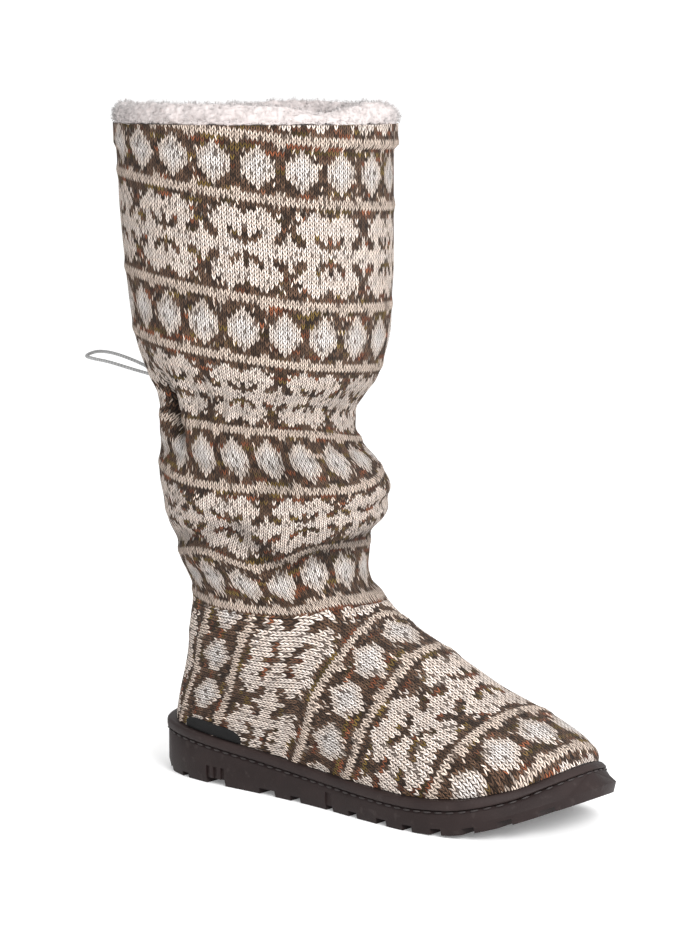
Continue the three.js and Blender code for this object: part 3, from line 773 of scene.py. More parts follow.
def band_chart(m, stitch, row):
    """Masks of the knit bands by stitch and row: stripes, lozenges, their rim and the stars' ground."""
    course = m.do("FLOORED_MODULO", row, REPEAT_ROWS)
    turn = m.do("FLOOR", m.do("DIVIDE", row, REPEAT_ROWS))
    up = m.size(m.sub(course, LOZENGE_MIDDLE))
    across = from_middle(m, stitch, band_phase(m, turn, "lozenge"), LOZENGE_STITCHES)
    lozenge_rows = m.less(up, LOZENGE_TALL + 1)
    reach = m.do("MINIMUM", LOZENGE_WIDE, m.sub(LOZENGE_TALL, up))
    lozenges = m.both(lozenge_rows, m.less(across, reach))
    rim = m.ramp(m.add(across, up), 1.4, 4.6)
    to_corner = m.add(m.sub(LOZENGE_STITCHES // 2, across), m.sub(LOZENGE_TALL + 0.5, up))
    teeth = m.both(lozenge_rows, m.less(to_corner, 0.9))
    stripes = m.either(m.less(course, 1.5), m.within(13.5, course, 15.5), teeth)

    i = from_middle(m, stitch, band_phase(m, turn, "star"), STAR_STITCHES)
    j = m.size(m.sub(course, STAR_MIDDLE))
    stem = m.both(m.within(0.5, j, 4.5), m.less(i, 0.5))
    bar = m.both(m.near(j, 2), m.less(i, 2.5))
    from_prong = m.size(m.sub(i, m.add(m.mul(j, 0.5), 1)))
    prongs = m.both(m.within(2.5, j, 4.5), m.less(from_prong, 0.7))
    notch = m.less(m.add(m.mul(i, 0.6), 7.4), j)
    to_side = m.sub(STAR_STITCHES // 2, i)
    to_end = m.sub(STAR_TALL, j)
    corner = m.less(m.add(to_side, to_end), 4.5)
    seed = m.both(m.near(to_side, 2), m.near(to_end, 1))
    ring = m.within(3.5, m.add(to_side, j), 6.5)
    diamond = m.both(ring, m.within(0.5, to_side, 3.5), m.less(1.5, j))
    dark = m.either(stem, bar, prongs, notch, m.sub(corner, seed), diamond)
    stars = m.both(m.within(16.5, course, 35.5), m.sub(1, dark))
    return stripes, lozenges, rim, stars


def knit_material():
    """Stranded knit: V stitches with round legs, charted bands, yarn that changes tint along a row, and
    painted shade in grooves and folds.
    """
    m = Maths("knit", 0.92, sheen=0.05, sheen_roughness=0.6, specular=0.08)
    lean = 1.15
    wobble = 0.2
    leg_middle = 0.44
    fabric = m.layer("fabric")
    place = m.place()
    sway = m.mul(m.sub(m.noise(place, 420, 1.0), 0.5), wobble)
    across = m.add(fabric[0], sway)
    down = m.sub(fabric[1], sway)
    stitch = m.do("FLOOR", across)
    leg = m.mul(m.size(m.sub(m.do("FRACT", across), 0.5)), 2)
    slanted = m.add(down, m.mul(m.sub(leg, 0.5), lean))
    row = m.do("FLOOR", slanted)
    run = m.do("FRACT", slanted)

    crown = m.sub(leg, leg_middle)
    swing = m.do("DIVIDE", crown, m.mix_value(m.less(crown, 0), 1 - leg_middle, 0.5))
    round_leg = m.do("SQRT", m.do("MAXIMUM", m.sub(1, m.mul(swing, swing)), 0))
    end = m.sub(m.mul(run, 2), 1)
    round_end = m.sub(1, m.do("POWER", m.size(end), 3))
    height = m.mul(round_leg, m.add(m.mul(round_end, 0.6), 0.4))

    stripes, lozenges, rim, stars = band_chart(m, stitch, row)
    side = m.less(m.do("FRACT", across), 0.5)
    chance = m.chance(m.vector(m.add(stitch, m.mul(side, 0.5)), row))
    strand = m.noise(m.vector(m.mul(stitch, 0.13), m.mul(row, 0.83)), 1.0, 1.0)
    dark = m.tone(strand, 0.58, 0.66, BROWN, RUST)
    dark = m.tone(strand, 0.42, 0.34, dark, OLIVE)
    dark = m.mix(m.mul(m.less(0.93, chance), 0.6), dark, OAT)
    pale = m.tone(strand, 0.4, 0.62, CREAM, PALE)
    colour = m.mix(stars, dark, m.mix(0.35, CREAM, pale))
    colour = m.mix(stripes, colour, OAT)
    colour = m.mix(lozenges, colour, m.mix(m.mul(rim, 0.75), PALE, OAT))
    fleck = m.mul(m.less(chance, 0.085), 0.75)
    colour = m.mix(fleck, colour, dark)
    light = m.either(stripes, lozenges, stars)
    # Painted shade: the low parts of each stitch's relief take these groove colours instead of the yarn's
    # colour.
    deep = m.mix(light, DARK_GROOVE_SHADE, PALE_GROOVE_FLOATS_AND_SHADE)
    heather = m.between(m.chance(m.vector(m.add(row, 0.3), stitch)), 0.36, 2.2)
    tint = m.add(m.mul(light, m.between(chance, 0.58, 1.1)), m.mul(m.sub(1, light), heather))
    fibre = m.noise(place, 2600, 2.0)
    crest = m.add(height, m.mul(m.sub(fibre, 0.5), 0.5))
    colour = m.tone(crest, 0.46, 0.9, deep, m.shade(colour, tint))
    # Painted shade: the knit is darkened by the depth of the fold or crease trough under it.
    m.colour(m.shade(colour, m.sub(1, m.mul(m.layer("fold")[0], SHADE_SHARE))))
    m.bump(m.add(height, m.mul(fibre, 0.3)), 0.0009)
    return m.material


def fleece_material():
    """Curled pile, with painted shade making it greyer between its curls."""
    m = Maths("fleece", 0.95, sheen=0.3, specular=0.08)
    place = m.place()
    curls = m.noise(place, 520, 3.0)
    lumps = m.noise(place, 150, 2.0)
    # Painted shade: greyer where the curl relief is low.
    colour = m.tone(curls, 0.3, 0.62, FLEECE_HOLLOW_SHADE, FLEECE_LIGHT)
    m.colour(m.mix(m.mul(m.ramp(lumps, 0.4, 0.65), 0.5), colour, FLEECE_LUMP))
    m.bump(m.add(curls, lumps), 0.0005, 0.5)
    return m.material


def curl_material():
    """Loose fibres of the fleece."""
    m = Maths("fleece_curls", 0.9, sheen=0.2, specular=0.08)
    m.colour(m.tone(m.noise(m.place(), 240, 1.0), 0.35, 0.65, CURL_DEEP, CURL_LIGHT))
    return m.material


def rubber_material(name, base, worn):
    """Moulded dark rubber with a fine grain and faint scuffs."""
    m = Maths(name, 0.6, specular=0.22)
    place = m.place()
    cloud = m.noise(place, 60, 3.0)
    grain = m.noise(place, 1400, 2.0)
    scuff = m.ramp(m.noise(place, 190, 4.0), 0.58, 0.72)
    m.colour(m.mix(m.mul(scuff, 0.2), m.tone(cloud, 0.35, 0.7, base, worn), SCUFF))
    m.put(m.shader.inputs["Roughness"], m.between(cloud, 0.5, 0.72))
    m.bump(m.add(grain, m.mul(cloud, 0.6)), 0.00025, 0.5)
    return m.material


def woven_material():
    """Close black weave for the bare tab."""
    m = Maths("woven_tab", 0.75, specular=0.25)
    weave = m.mul(*[m.do("SINE", m.mul(thread, 2 * math.pi)) for thread in m.layer("fabric")])
    m.colour(m.tone(weave, -0.6, 0.8, TAB_DEEP, TAB_LIGHT))
    m.bump(weave, 0.00015, 0.8)
    return m.material


def plastic_material():
    """Smooth cream plastic, a little cloudy."""
    m = Maths("lock_plastic", 0.38)
    place = m.place()
    cloud = m.noise(place, 220, 2.0)
    m.colour(m.tone(cloud, 0.3, 0.75, PLASTIC_DEEP, PLASTIC_LIGHT))
    m.put(m.shader.inputs["Roughness"], m.between(m.noise(place, 900, 2.0), 0.3, 0.46))
    m.bump(cloud, 0.0001, 0.4)
    return m.material


def elastic_material():
    """Braided sleeve of the elastic cord."""
    m = Maths("elastic_cord", 0.7)
    along, around = m.split(m.new("ShaderNodeTexCoord", {}, "UV"))
    turn = m.mul(around, 2 * math.pi * BRAID_AROUND)
    run = m.mul(along, 2 * math.pi * BRAID_ALONG)
    braid = m.mul(m.do("SINE", m.add(run, turn)), m.do("SINE", m.sub(run, turn)))
    m.colour(m.tone(braid, -0.5, 0.5, CORD_DEEP, CORD_LIGHT))
    m.bump(braid, 0.0002, 0.7)
    return m.material


def thread_material():
    """Dark thread of the welt."""
    m = Maths("thread", 0.65)
    cloud = m.noise(m.place(), 3000, 2.0)
    m.colour(m.tone(cloud, 0.35, 0.65, THREAD_DEEP, THREAD_LIGHT))
    m.bump(cloud, 0.0001, 0.6)
    return m.material


def set_fabric(piece, corner_uv, name="fabric"):
    """Fabric coordinates, such as stitches and rows, for each face corner."""
    layer = piece.data.uv_layers.new(name=name)
    layer.data.foreach_set("uv", np.asarray(corner_uv, np.float32).ravel())


def stripe_ridge(row):
    """How far a place lies on a raised stripe, from 0 to 1."""
    course = np.mod(row, REPEAT_ROWS)
    off = np.min([np.abs(course - middle) for middle in STRIPE_MIDDLES], 0)
    return np.exp(-((off / RIDGE_ROWS) ** 2))


def knit_wall(name, columns, outer_rows, inner_rows, low_at, high_at, fabric_at, materials):
    """A closed knit wall: up the outside and down the inside, with its fabric coordinates."""
    u = np.arange(columns) / columns
    low_edge, high_edge = low_at(u), high_at(u)
    z_out = low_edge + (high_edge - low_edge) * np.linspace(0, 1, outer_rows)[:, None]
    z_in = low_edge + (high_edge - low_edge) * np.linspace(1, 0, inner_rows)[:, None]
    u_out = np.broadcast_to(u, z_out.shape)
    u_in = np.broadcast_to(u, z_in.shape)
    outside = dressed(u_out, z_out)
    inside = inset(u_in, z_in, WALL - fold_rise(CREASES, u_in, z_in)[..., None])
    inside[0, :, 2] = outside[-1, :, 2]
    low = inside[-1]
    low[:, 2] = np.maximum(low[:, 2], sole_top(low[:, 0]) + GAP)
    closed = np.concatenate([outside, outside[:, :1]], 1)
    wide = np.broadcast_to(np.arange(columns + 1) / columns, closed.shape[:2])
    fabric, other, takes_other = fabric_at(wide, closed)
    # Painted shade for the knit: stronger the deeper a fold or crease trough is, carried in the fold layer.
    z_closed = np.concatenate([z_out, z_out[:, :1]], 1)
    folded = fold_rise(FOLDS, wide, z_closed) + fold_rise(CREASES, wide, z_closed)
    shade = np.clip(-folded / SHADE_DEPTH, 0, 1) ** SHADE_EASE
    shade = np.stack([shade, np.zeros_like(shade)], -1)
    course = np.where(takes_other, other[..., 1], fabric[..., 1])
    ridge = RIDGE_RISE * stripe_ridge(course[:, :-1])
    outside = outside + normal_of(dressed, u_out, z_out) * ridge[..., None]
    rows = outer_rows + inner_rows
    faces = loop_faces(rows, columns, True)
    piece = new_object(name, np.concatenate([outside, inside]).reshape(-1, 3), faces, materials, smooth=60)

    row = np.repeat(np.arange(rows), columns)
    column = np.tile(np.arange(columns), rows)
    following = (row + 1) % rows
    chosen = takes_other[np.minimum(row, outer_rows - 1), column]
    corners, shades = [], []
    for r, c in ((row, column), (row, column + 1), (following, column + 1), (following, column)):
        r = np.minimum(r, outer_rows - 1)
        corners.append(np.where(chosen[:, None], other[r, c], fabric[r, c]))
        shades.append(shade[r, c])
    set_fabric(piece, np.stack(corners, 1))
    set_fabric(piece, np.stack(shades, 1), "fold")
    piece.data.polygons.foreach_set("material_index", (row >= outer_rows).astype(np.int32))
    return piece


def shaft_fabric(u, points):
    """Stitch and row of each place on the shaft. Below its lowest stripe the foot's bands go on."""
    z = points[..., 2]
    slack = SLACK * np.clip((SLACK_FROM - z) / SLACK_REACH, 0, 1)
    bulge = np.where(z < SLOUCH_TOP, np.clip((level["front"](z) - SLOUCH_FRONT) / SLOUCH_REACH, 0, 1), 0)
    fore = np.sin(np.pi * np.clip((u - 0.25) * 2, 0, 1)) ** 2
    stitch = SHAFT_STITCHES * (u - slack / (2 * np.pi) * np.sin(2 * np.pi * (u - SLACK_SHARE)))
    stitch = stitch + SLOUCH_STITCHES * bulge * fore
    shares = np.array(STRIPE_SHARES)
    around = np.concatenate([shares - 1, shares, shares + 1])
    heights = np.stack(list(SHAFT_STRIPES.values())[1:], 1)
    row = np.zeros_like(z)
    columns = u[0]
    stripe = np.stack([curve(around, np.tile(h, 3))(columns) for h in heights])
    for k in range(len(columns)):
        row[:, k] = curve(stripe[::-1, k], SHAFT_STRIPES["row"][::-1])(z[:, k])
    return np.stack([stitch, row], -1), foot_fabric(u, points)[0], row > ANKLE_ROW


def round_heel(points):
    """Length along the foot and distance from its middle, with the heel's half circle rolled out flat."""
    x, y = points[..., 0], points[..., 1]
    behind = np.maximum(HEEL_CENTRE - x, 0)
    radius = np.hypot(behind, y)
    return x + behind - radius * np.arctan2(behind, np.abs(y)), np.where(behind > 0, radius, np.abs(y))


def foot_station(points):
    """Place along the foot on planes that lean forward with the instep."""
    x, z = round_heel(points)[0], points[..., 2]
    share = ease((x - ANKLE_LEAN_FROM) / (ANKLE_LEAN_TO - ANKLE_LEAN_FROM))
    top = ANKLE_LEAN_TOP + (FOOT_LEAN_TOP - ANKLE_LEAN_TOP) * share
    over = FOOT_LEAN_SOFT * np.log1p(np.exp((z - top) / FOOT_LEAN_SOFT))
    return x - FOOT_LEAN * (z - over - FOOT_LEAN_FROM)


foot_row = curve(FOOT_STRIPES["along"], FOOT_STRIPES["row"])
foot_spread = curve(FOOT_SPREAD["even"], FOOT_SPREAD["knit"])


def foot_fabric(u, points):
    """Stitch and row of each place on the foot: rows across it, stitches counted from its ridge."""
    station = foot_station(points)
    steps = 80
    middle = np.array(0.5)
    ridge = skin(np.full(steps, 0.5), np.linspace(edge_at(middle), seam_at(middle), steps))
    ridge = ridge[np.argsort(foot_station(ridge))]
    ridge_y, ridge_z = (np.interp(station, foot_station(ridge), ridge[:, i]) for i in (1, 2))
    drop = SIDE_DROP * np.maximum(ridge_z - points[..., 2], 0)
    side = np.where(u < 0.5, -1, 1)
    over_instep = np.hypot(side * round_heel(points)[1] - ridge_y, drop)
    up_heel = HEEL_TOP_CHORD + HEEL_CHORD_RISE * (HEEL_TOP - points[..., 2])
    heel = ease((HEEL_KNIT_FROM - station) / HEEL_KNIT_REACH)
    chord = over_instep + heel * (up_heel - over_instep)
    even = side * CHORD_ROUND * chord / FOOT_STITCH
    stitch = np.sign(even) * foot_spread(np.abs(even)) + 0.5
    fabric = np.stack([stitch, foot_row(station) + FOOT_REPEAT * REPEAT_ROWS], -1)
    return fabric, fabric, np.zeros(u.shape, bool)


def collar_at(u):
    return np.full(np.shape(u), KNIT_TOP)


def cuff_wave(u):
    total = np.zeros_like(u)
    for share, width, rise in zip(*CUFF_WAVES.values()):
        off = np.mod(u - share + 0.5, 1) - 0.5
        total = total + rise * np.exp(-((off / width) ** 2))
    return total


def cuff_surface(columns, steps):
    """Rows of points round the fleece cuff's profile, their directions, and how free each is to swell."""
    fade = 2.0
    u = np.arange(columns) / columns
    normal = normal_of(section, u, collar_at(u))
    normal[:, 2] = 0
    normal = unit(normal)
    profile = closed_curve(np.stack(list(CUFF_PROFILE.values()), 1), steps)
    tangent = np.roll(profile, -1, 0) - np.roll(profile, 1, 0)
    facing = unit(np.stack([tangent[:, 1], -tangent[:, 0]], 1))
    out = np.where(profile[:, 1] < GAP, np.minimum(profile[:, 0], CUFF_BACK), profile[:, 0])
    lower = section(u[None], np.minimum(KNIT_TOP + profile[:, 1], KNIT_TOP)[:, None])
    points = lower + normal[None] * out[:, None, None]
    points[..., 2] = KNIT_TOP + profile[:, 1, None] + profile[:, 2, None] * cuff_wave(u)[None]
    ways = normal[None] * facing[:, 0, None, None]
    ways[..., 2] = facing[:, 1, None]
    free = np.clip((out - CUFF_BACK) / fade + 1, 0, 1) * (profile[:, 1] > GAP) + (out < CUFF_BACK - fade)
    return points, ways, np.clip(free, 0, 1)


def fleece_cuff(material):
    """Curly fleece band in the collar, and the tufts on it."""
    columns, steps = 900, 7
    points, ways, free = cuff_surface(columns, steps)
    lumps = sum(rise * value_noise(points, size, int(seed)) for rise, size, seed in zip(*LUMPS.values()))
    heart = points.mean(0, keepdims=True)
    outward = ways * np.sign(np.sum(ways * (points - heart), -1, keepdims=True))
    bumped = points + outward * ((lumps - 0.5) * free[:, None])[..., None]
    faces = loop_faces(len(points), columns, True)[:, ::-1]
    ring = new_object("fleece_collar", bumped.reshape(-1, 3), faces, [material])
    stand_for(ring, "fleece_cuff")

    rng = np.random.default_rng(TUFT_SEED)
    shown = np.flatnonzero(free > 0.5)
    row = rng.choice(shown, TUFTS)
    column = rng.integers(0, columns, TUFTS)
    tufts = tuft_mesh("fleece_tufts", bumped[row, column], outward[row, column], rng, curl_material())
    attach(tufts, "boot")


def tuft_mesh(name, roots, ways, rng, material):
    """Small curling tufts, three sides and three steps each, joined in one mesh."""
    count = len(roots)
    steps = np.array([0, 0.4, 0.75, 1.0])
    taper = np.array([1.0, 0.95, 0.6, 0.08])
    droop, curl, flat, sunk = 0.35, 2.4, 0.6, 0.3
    reach = TUFT_LENGTH * rng.uniform(0.55, 1.15, count)
    side = rng.normal(size=(count, 3))
    side = unit(side - ways * np.sum(side * ways, 1, keepdims=True))
    other = np.cross(ways, side)
    lean = rng.uniform(0.3, 1.1, count)
    rings = []
    for t, thick in zip(steps, taper):
        up = reach * (t - droop * lean * t * t)
        away = reach * lean * t * t
        turn = curl * t * rng.choice([-1, 1], count) if t else np.zeros(count)
        centre = roots + ways * (up - sunk)[:, None] + side * (away * np.cos(turn))[:, None]
        centre = centre + other * (away * np.sin(turn) * flat)[:, None]
        for k in range(3):
            angle = 2 * np.pi * k / 3
            round_way = side * math.cos(angle) + other * math.sin(angle)
            rings.append(centre + round_way * (TUFT_RADIUS * thick * reach / TUFT_LENGTH)[:, None])
    points = np.stack(rings, 1)
    per = points.shape[1]
    first = per * np.arange(count)[:, None, None]
    quads = (loop_faces(len(steps), 3, False)[None] + first).reshape(-1, 4)
    caps = (np.array([[[per - 3, per - 2, per - 1]]]) + first).reshape(-1, 3)
    foot = (np.array([[[2, 1, 0]]]) + first).reshape(-1, 3)
    piece = new_object(name, points.reshape(-1, 3), [*quads, *caps, *foot], [material])
    piece.data.normals_split_custom_set_from_vertices(np.repeat(ways, per, 0).tolist())
    return piece


def offset_loop(loop, out):
    """Moves a plan loop in or out along its own normal, by one distance or one for each point."""
    way = unit(np.roll(loop, -1, 0) - np.roll(loop, 1, 0))
    by = np.broadcast_to(out, len(loop))[:, None]
    return loop + by * np.stack([way[:, 1], -way[:, 0]], 1)


def lean_at(loop):
    """How far the rubber's upper edge sits behind its widest line, which only the toe does."""
    return TOE_LEAN * ease((loop[:, 0] - TOE_LEAN_FROM) / (SOLE_HEEL + SOLE_LENGTH - TOE_LEAN_FROM))


def span_of(loop, x):
    """Stations kept inside a plan loop, and its outer and inner reach there."""
    toe = np.argmax(loop[:, 0])
    heel = np.argmin(loop[:, 0])
    one = np.roll(loop, -heel, 0)[: (toe - heel) % len(loop) + 1]
    two = np.roll(loop, -toe, 0)[: (heel - toe) % len(loop) + 1][::-1]
    near = np.clip(x, loop[heel, 0] + END_CLEAR, loop[toe, 0] - END_CLEAR)
    return near, np.interp(near, one[:, 0], one[:, 1]), np.interp(near, two[:, 0], two[:, 1])


SOLE_LOOP = outline_at(np.arange(720) / 720)


def sole_stations():
    """Stations along the sole with the notch depth and side inset of each, two at every edge of a gap."""
    clear = 0.4
    low, high = SOLE_LOOP[:, 0].min() + END_CLEAR, SOLE_LOOP[:, 0].max() - END_CLEAR
    plain = low + (high - low) * (1 - np.cos(np.linspace(0, np.pi, PLAIN_STATIONS))) / 2
    rows = []
    for start, wide, deep, inset_by, ribs in zip(*LUG_GAPS.values()):
        plain = plain[(plain < start - clear) | (plain > start + wide + clear)]
        panels = int(2 * ribs + 1)
        states = [(0, 0), *[(deep, 0 if i % 2 else inset_by) for i in range(panels)], (0, 0)]
        for i in range(panels + 1):
            x = start + wide * i / panels
            rows += [(x, *states[i]), (x, *states[i + 1])]
    rows += [(x, 0, 0) for x in plain]
    order = np.argsort([r[0] for r in rows], kind="stable")
    return np.array(rows, float)[order]


def sole_mesh(material):
    """Outsole in the form of its solid, with finer stations and softened edges."""
    x, deep, inset_by = sole_stations().T
    _, outer, inner = span_of(SOLE_LOOP, x)
    low_x, low_outer, low_inner = span_of(offset_loop(SOLE_LOOP, -LUG_TAPER), x)
    high_loop = offset_loop(SOLE_LOOP, -WELT_LOW_LEAN * lean_at(SOLE_LOOP))
    high_x, high_outer, high_inner = span_of(high_loop, x)
    share = deep / LUG_DEEP
    bottom_x = low_x + (x - low_x) * share
    bottom_outer = np.maximum(low_outer + (outer - low_outer) * share, outer + inset_by)
    bottom_inner = np.minimum(low_inner + (inner - low_inner) * share, inner - inset_by)
    floor = tread(x)
    wide = floor + LUG_DEEP
    top = sole_top(high_x) - WELT_THICK - GAP
    bevel = np.minimum(BEVEL_ACROSS, (high_inner - high_outer) / 4)
    side = top - BEVEL_TALL
    shelf = np.minimum(floor + PANEL_TALL, side - GAP)

    rows = [(bottom_x, bottom_outer, floor + deep), (bottom_x, bottom_inner, floor + deep)]
    upward = [(wide, inset_by), (shelf, inset_by), (shelf, 0), (side, 0), (top, bevel)]
    inner_side, outer_side = (inner, high_inner, -1, upward), (outer, high_outer, 1, upward[::-1])
    for edge, high_edge, inward, levels in (inner_side, outer_side):
        for z, by in levels:
            up = (z - wide) / (top - wide)
            rows.append((x + (high_x - x) * up, edge + (high_edge - edge) * up + inward * by, z))
    points = np.stack([np.stack(r, -1) for r in rows], 1)
    piece = new_object("rubber_sole", points.reshape(-1, 3), tube_faces(len(x), len(rows)), [material])
    softened(piece, 0.0005)
    return stand_for(piece, "outsole")


def softened(piece, width):
    """Joins doubled points and rounds the sharp edges of a piece."""
    doubled, tiny = 2e-6, 1e-6
    bevel_from, crease_from = math.radians(32), math.radians(38)
    work = bmesh.new()
    work.from_mesh(piece.data)
    bmesh.ops.remove_doubles(work, verts=work.verts, dist=doubled)
    bmesh.ops.dissolve_degenerate(work, dist=tiny, edges=work.edges)
    sharp = [e for e in work.edges if e.is_manifold and e.calc_face_angle(0) > bevel_from]
    bmesh.ops.bevel(
        work, geom=sharp, offset=width, segments=2, profile=0.6, affect="EDGES", clamp_overlap=True
    )
    bmesh.ops.recalc_face_normals(work, faces=work.faces)
    work.to_mesh(piece.data)
    work.free()
    piece.data.shade_smooth()
    piece.data.set_sharp_from_angle(angle=crease_from)


def plate_mesh(name, loops, material, smooth=None):
    """A plate from plan loops up its edge, closed across by joining its two sides."""
    columns = len(loops[0])
    faces = loop_faces(len(loops), columns, False).tolist()
    last = (len(loops) - 1) * columns
    half = columns // 2
    for i in range(half):
        a, b, c, d = i, i + 1, (columns - i - 1) % columns, (columns - i) % columns
        quad = list(dict.fromkeys([a, b, c, d]))
        if len(quad) > 2:
            faces.append(quad[::-1])
            faces.append([last + k for k in quad])
    return new_object(name, np.concatenate(loops), faces, [material], smooth)


WELT_PROFILE = table("out up", [
    (-0.9, -5),
    (0, -4.9),
    (0.6, -4.4),
    (0.8, -3.6),
    (0.8, -1.7),
    (0.6, -0.7),
    (0.1, -0.12),
    (-0.9, 0),
    (-3, 0),
])


def welt_mesh(material):
    loops = []
    loop = SOLE_LOOP[::2]
    for out, up in zip(*WELT_PROFILE.values()):
        share = WELT_LOW_LEAN + (1 - WELT_LOW_LEAN) * (1 + up / WELT_THICK)
        plan = offset_loop(loop, out - share * lean_at(loop))
        loops.append(np.column_stack([plan, sole_top(plan[:, 0]) + up]))
    piece = plate_mesh("rubber_welt", loops, material, smooth=50)
    return stand_for(piece, "welt")


def welt_stitches(material):
    """Thread dashes in the groove under the welt."""
    pitch, long, thick = 6.2, 4.2, 0.55
    proud, below = 0.15, 0.75
    plan = offset_loop(SOLE_LOOP, proud - WELT_LOW_LEAN * lean_at(SOLE_LOOP))
    lengths = run_along(plan)
    points, faces = [], []
    sides, steps = 6, 6
    for n in range(int(lengths[-1] / pitch)):
        run = n * pitch + np.linspace(0, long, steps)
        x, y = (np.interp(run, lengths, plan[:, i]) for i in (0, 1))
        z = sole_top(x) - WELT_THICK - below
        way = unit(np.stack([np.gradient(x), np.gradient(y)], 1))
        swell = thick * np.sqrt(np.clip(1 - (np.linspace(-1, 1, steps) * 0.97) ** 2, 0.05, 1))
        base = len(points)
        for s in range(sides * steps):
            k, angle = s // sides, 2 * np.pi * (s % sides) / sides
            out, rise = swell[k] * math.cos(angle), swell[k] * math.sin(angle)
            points.append((x[k] + way[k, 1] * out, y[k] - way[k, 0] * out, z[k] + rise))
        faces += [[base + k for k in face] for face in tube_faces(steps, sides, True)]
    piece = new_object("welt_stitches", points, faces, [material])
    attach(piece, "boot")


def insole_mesh(material):
    """Fleece-topped footbed with a soft, uneven top."""
    columns = 240
    rounding, round_share = 1.2, 0.06
    lump_rise, lump_size, seed = 0.35, 6, 21
    u = np.arange(columns) / columns
    wall = inset(u, edge_at(u) + INSOLE_THICK, WALL)[:, :2]
    edge = offset_loop(wall, -INSOLE_CLEAR)
    spine = (edge + edge[(-np.arange(columns)) % columns]) / 2
    loops = [np.column_stack([edge, sole_top(edge[:, 0]) + GAP])]
    for share in (0, 0.02, 0.06, 0.12, 0.2, 0.3, 0.42, 0.55, 0.7, 0.85):
        plan = edge + (spine - edge) * share
        up = INSOLE_THICK - rounding * max(0, 1 - share / round_share)
        z = sole_top(plan[:, 0]) + GAP + up
        lumps = lump_rise * value_noise(np.column_stack([plan, z]), lump_size, seed) - lump_rise
        loops.append(np.column_stack([plan, z + lumps]))
    piece = plate_mesh("fleece_footbed", loops, material)
    stand_for(piece, "insole")
    return piece


def tab_mesh(material):
    """Bare woven tab that stands on the welt against the knit."""
    across, tall = 44, 10
    u = np.linspace(0.02, 0.3, 400)
    along = section(u, TAB_LEVEL)[:, 0]
    start, end = np.interp([TAB_FROM, TAB_TO], along, u)
    share = np.linspace(start, end, across + 1)
    up = np.linspace(0, 1, tall + 1)
    grid_u = np.broadcast_to(share, (tall + 1, across + 1))
    ends = np.sqrt(1 - np.linspace(-1, 1, across + 1) ** 4)
    z = edge_at(share)[None] + GAP + TAB_TALL * (TAB_END + (1 - TAB_END) * ends)[None] * up[:, None]
    steps = np.arange(across + 1)
    rim = np.minimum(np.minimum(up, 1 - up)[:, None] * tall, np.minimum(steps, across - steps)[None])
    swell = TAB_SWELL * (1 - np.exp(-rim / TAB_RIM))
    normal = normal_of(skin, grid_u, z)
    base = skin(grid_u, z)
    near = base + normal * GAP
    far = base + normal * (GAP + TAB_THICK - TAB_SWELL + swell)[..., None]
    points = np.concatenate([near.reshape(-1, 3), far.reshape(-1, 3)])
    count = grid_u.size
    place = np.arange(count).reshape(grid_u.shape)
    quads = np.stack([place[:-1, :-1], place[:-1, 1:], place[1:, 1:], place[1:, :-1]], -1).reshape(-1, 4)
    faces = np.stack([quads + count, quads[:, ::-1]], 1).reshape(-1, 4).tolist()
    rim_path = [*place[0], *place[1:, -1], *place[-1, -2::-1], *place[-2:0:-1, 0]]
    faces += [[a, b, count + b, count + a] for a, b in zip(rim_path, rim_path[1:] + rim_path[:1])]
    piece = new_object("heel_tab", points, faces, [material], smooth=50)
    threads = 1.1
    warp, weft = np.meshgrid(threads * steps, threads * np.arange(tall + 1))
    flat = np.concatenate([np.stack([warp, weft], -1).reshape(-1, 2)] * 2)
    corner = np.zeros(len(piece.data.loops), np.int32)
    piece.data.loops.foreach_get("vertex_index", corner)
    set_fabric(piece, flat[corner])
    return stand_for(piece, "side_tab")


LOCK_PLACE = skin(np.array(0.0), np.array(LOCK_HEIGHT)) + [-LOCK_RADIUS - LOCK_STAND, LOCK_SIDE, 0]
LOCK_TURN = np.array(Matrix.Rotation(LOCK_TILT, 3, "Y"))


def from_lock(points):
    """Points of the lock's own frame in the boot's frame."""
    return np.asarray(points, float) @ LOCK_TURN.T + [LOCK_PLACE[0], LOCK_SIDE, LOCK_HEIGHT]


def turned(name, profile, material):
    """A turned piece about the lock's axis, from rows of radius and place along it."""
    sides = 48
    angle = 2 * np.pi * np.arange(sides) / sides
    radius, along = profile["radius"], profile["along"]
    x = radius[:, None] * np.cos(angle)
    z = radius[:, None] * np.sin(angle)
    y = np.broadcast_to(along[:, None], x.shape)
    points = from_lock(np.stack([x, y, z], -1).reshape(-1, 3))
    piece = new_object(name, points, tube_faces(len(radius), sides, True), [material])
    work = bmesh.new()
    work.from_mesh(piece.data)
    bmesh.ops.recalc_face_normals(work, faces=work.faces)
    work.to_mesh(piece.data)
    work.free()
    return piece


def cut_slot(piece, extra):
    """Cuts the cross slot for the two strands of cord."""
    wide = 2 * STRAND_OFFSET + CORD_DIAMETER + 2 * CORD_CLEAR + extra
    tall = CORD_DIAMETER + 2 * CORD_CLEAR
    half = np.array([2 * LOCK_RADIUS, wide / 2, tall / 2])
    corners = (2 * np.array(list(np.ndindex(2, 2, 2))) - 1) * half
    corners[:, 1] += extra / 2
    faces = [(0, 1, 3, 2), (4, 6, 7, 5), (0, 4, 5, 1), (2, 3, 7, 6), (0, 2, 6, 4), (1, 5, 7, 3)]
    cutter = new_object("slot_cutter", from_lock(corners), faces, [])
    cut = piece.modifiers.new("slot", "BOOLEAN")
    cut.operation = "DIFFERENCE"
    cut.solver = "EXACT"
    cut.object = cutter
    view = bpy.context.evaluated_depsgraph_get()
    made = bpy.data.meshes.new_from_object(piece.evaluated_get(view))
    piece.modifiers.clear()
    piece.data = made
    bpy.data.objects.remove(cutter)
    piece.data.shade_smooth()
    piece.data.set_sharp_from_angle(angle=math.radians(35))
    return piece


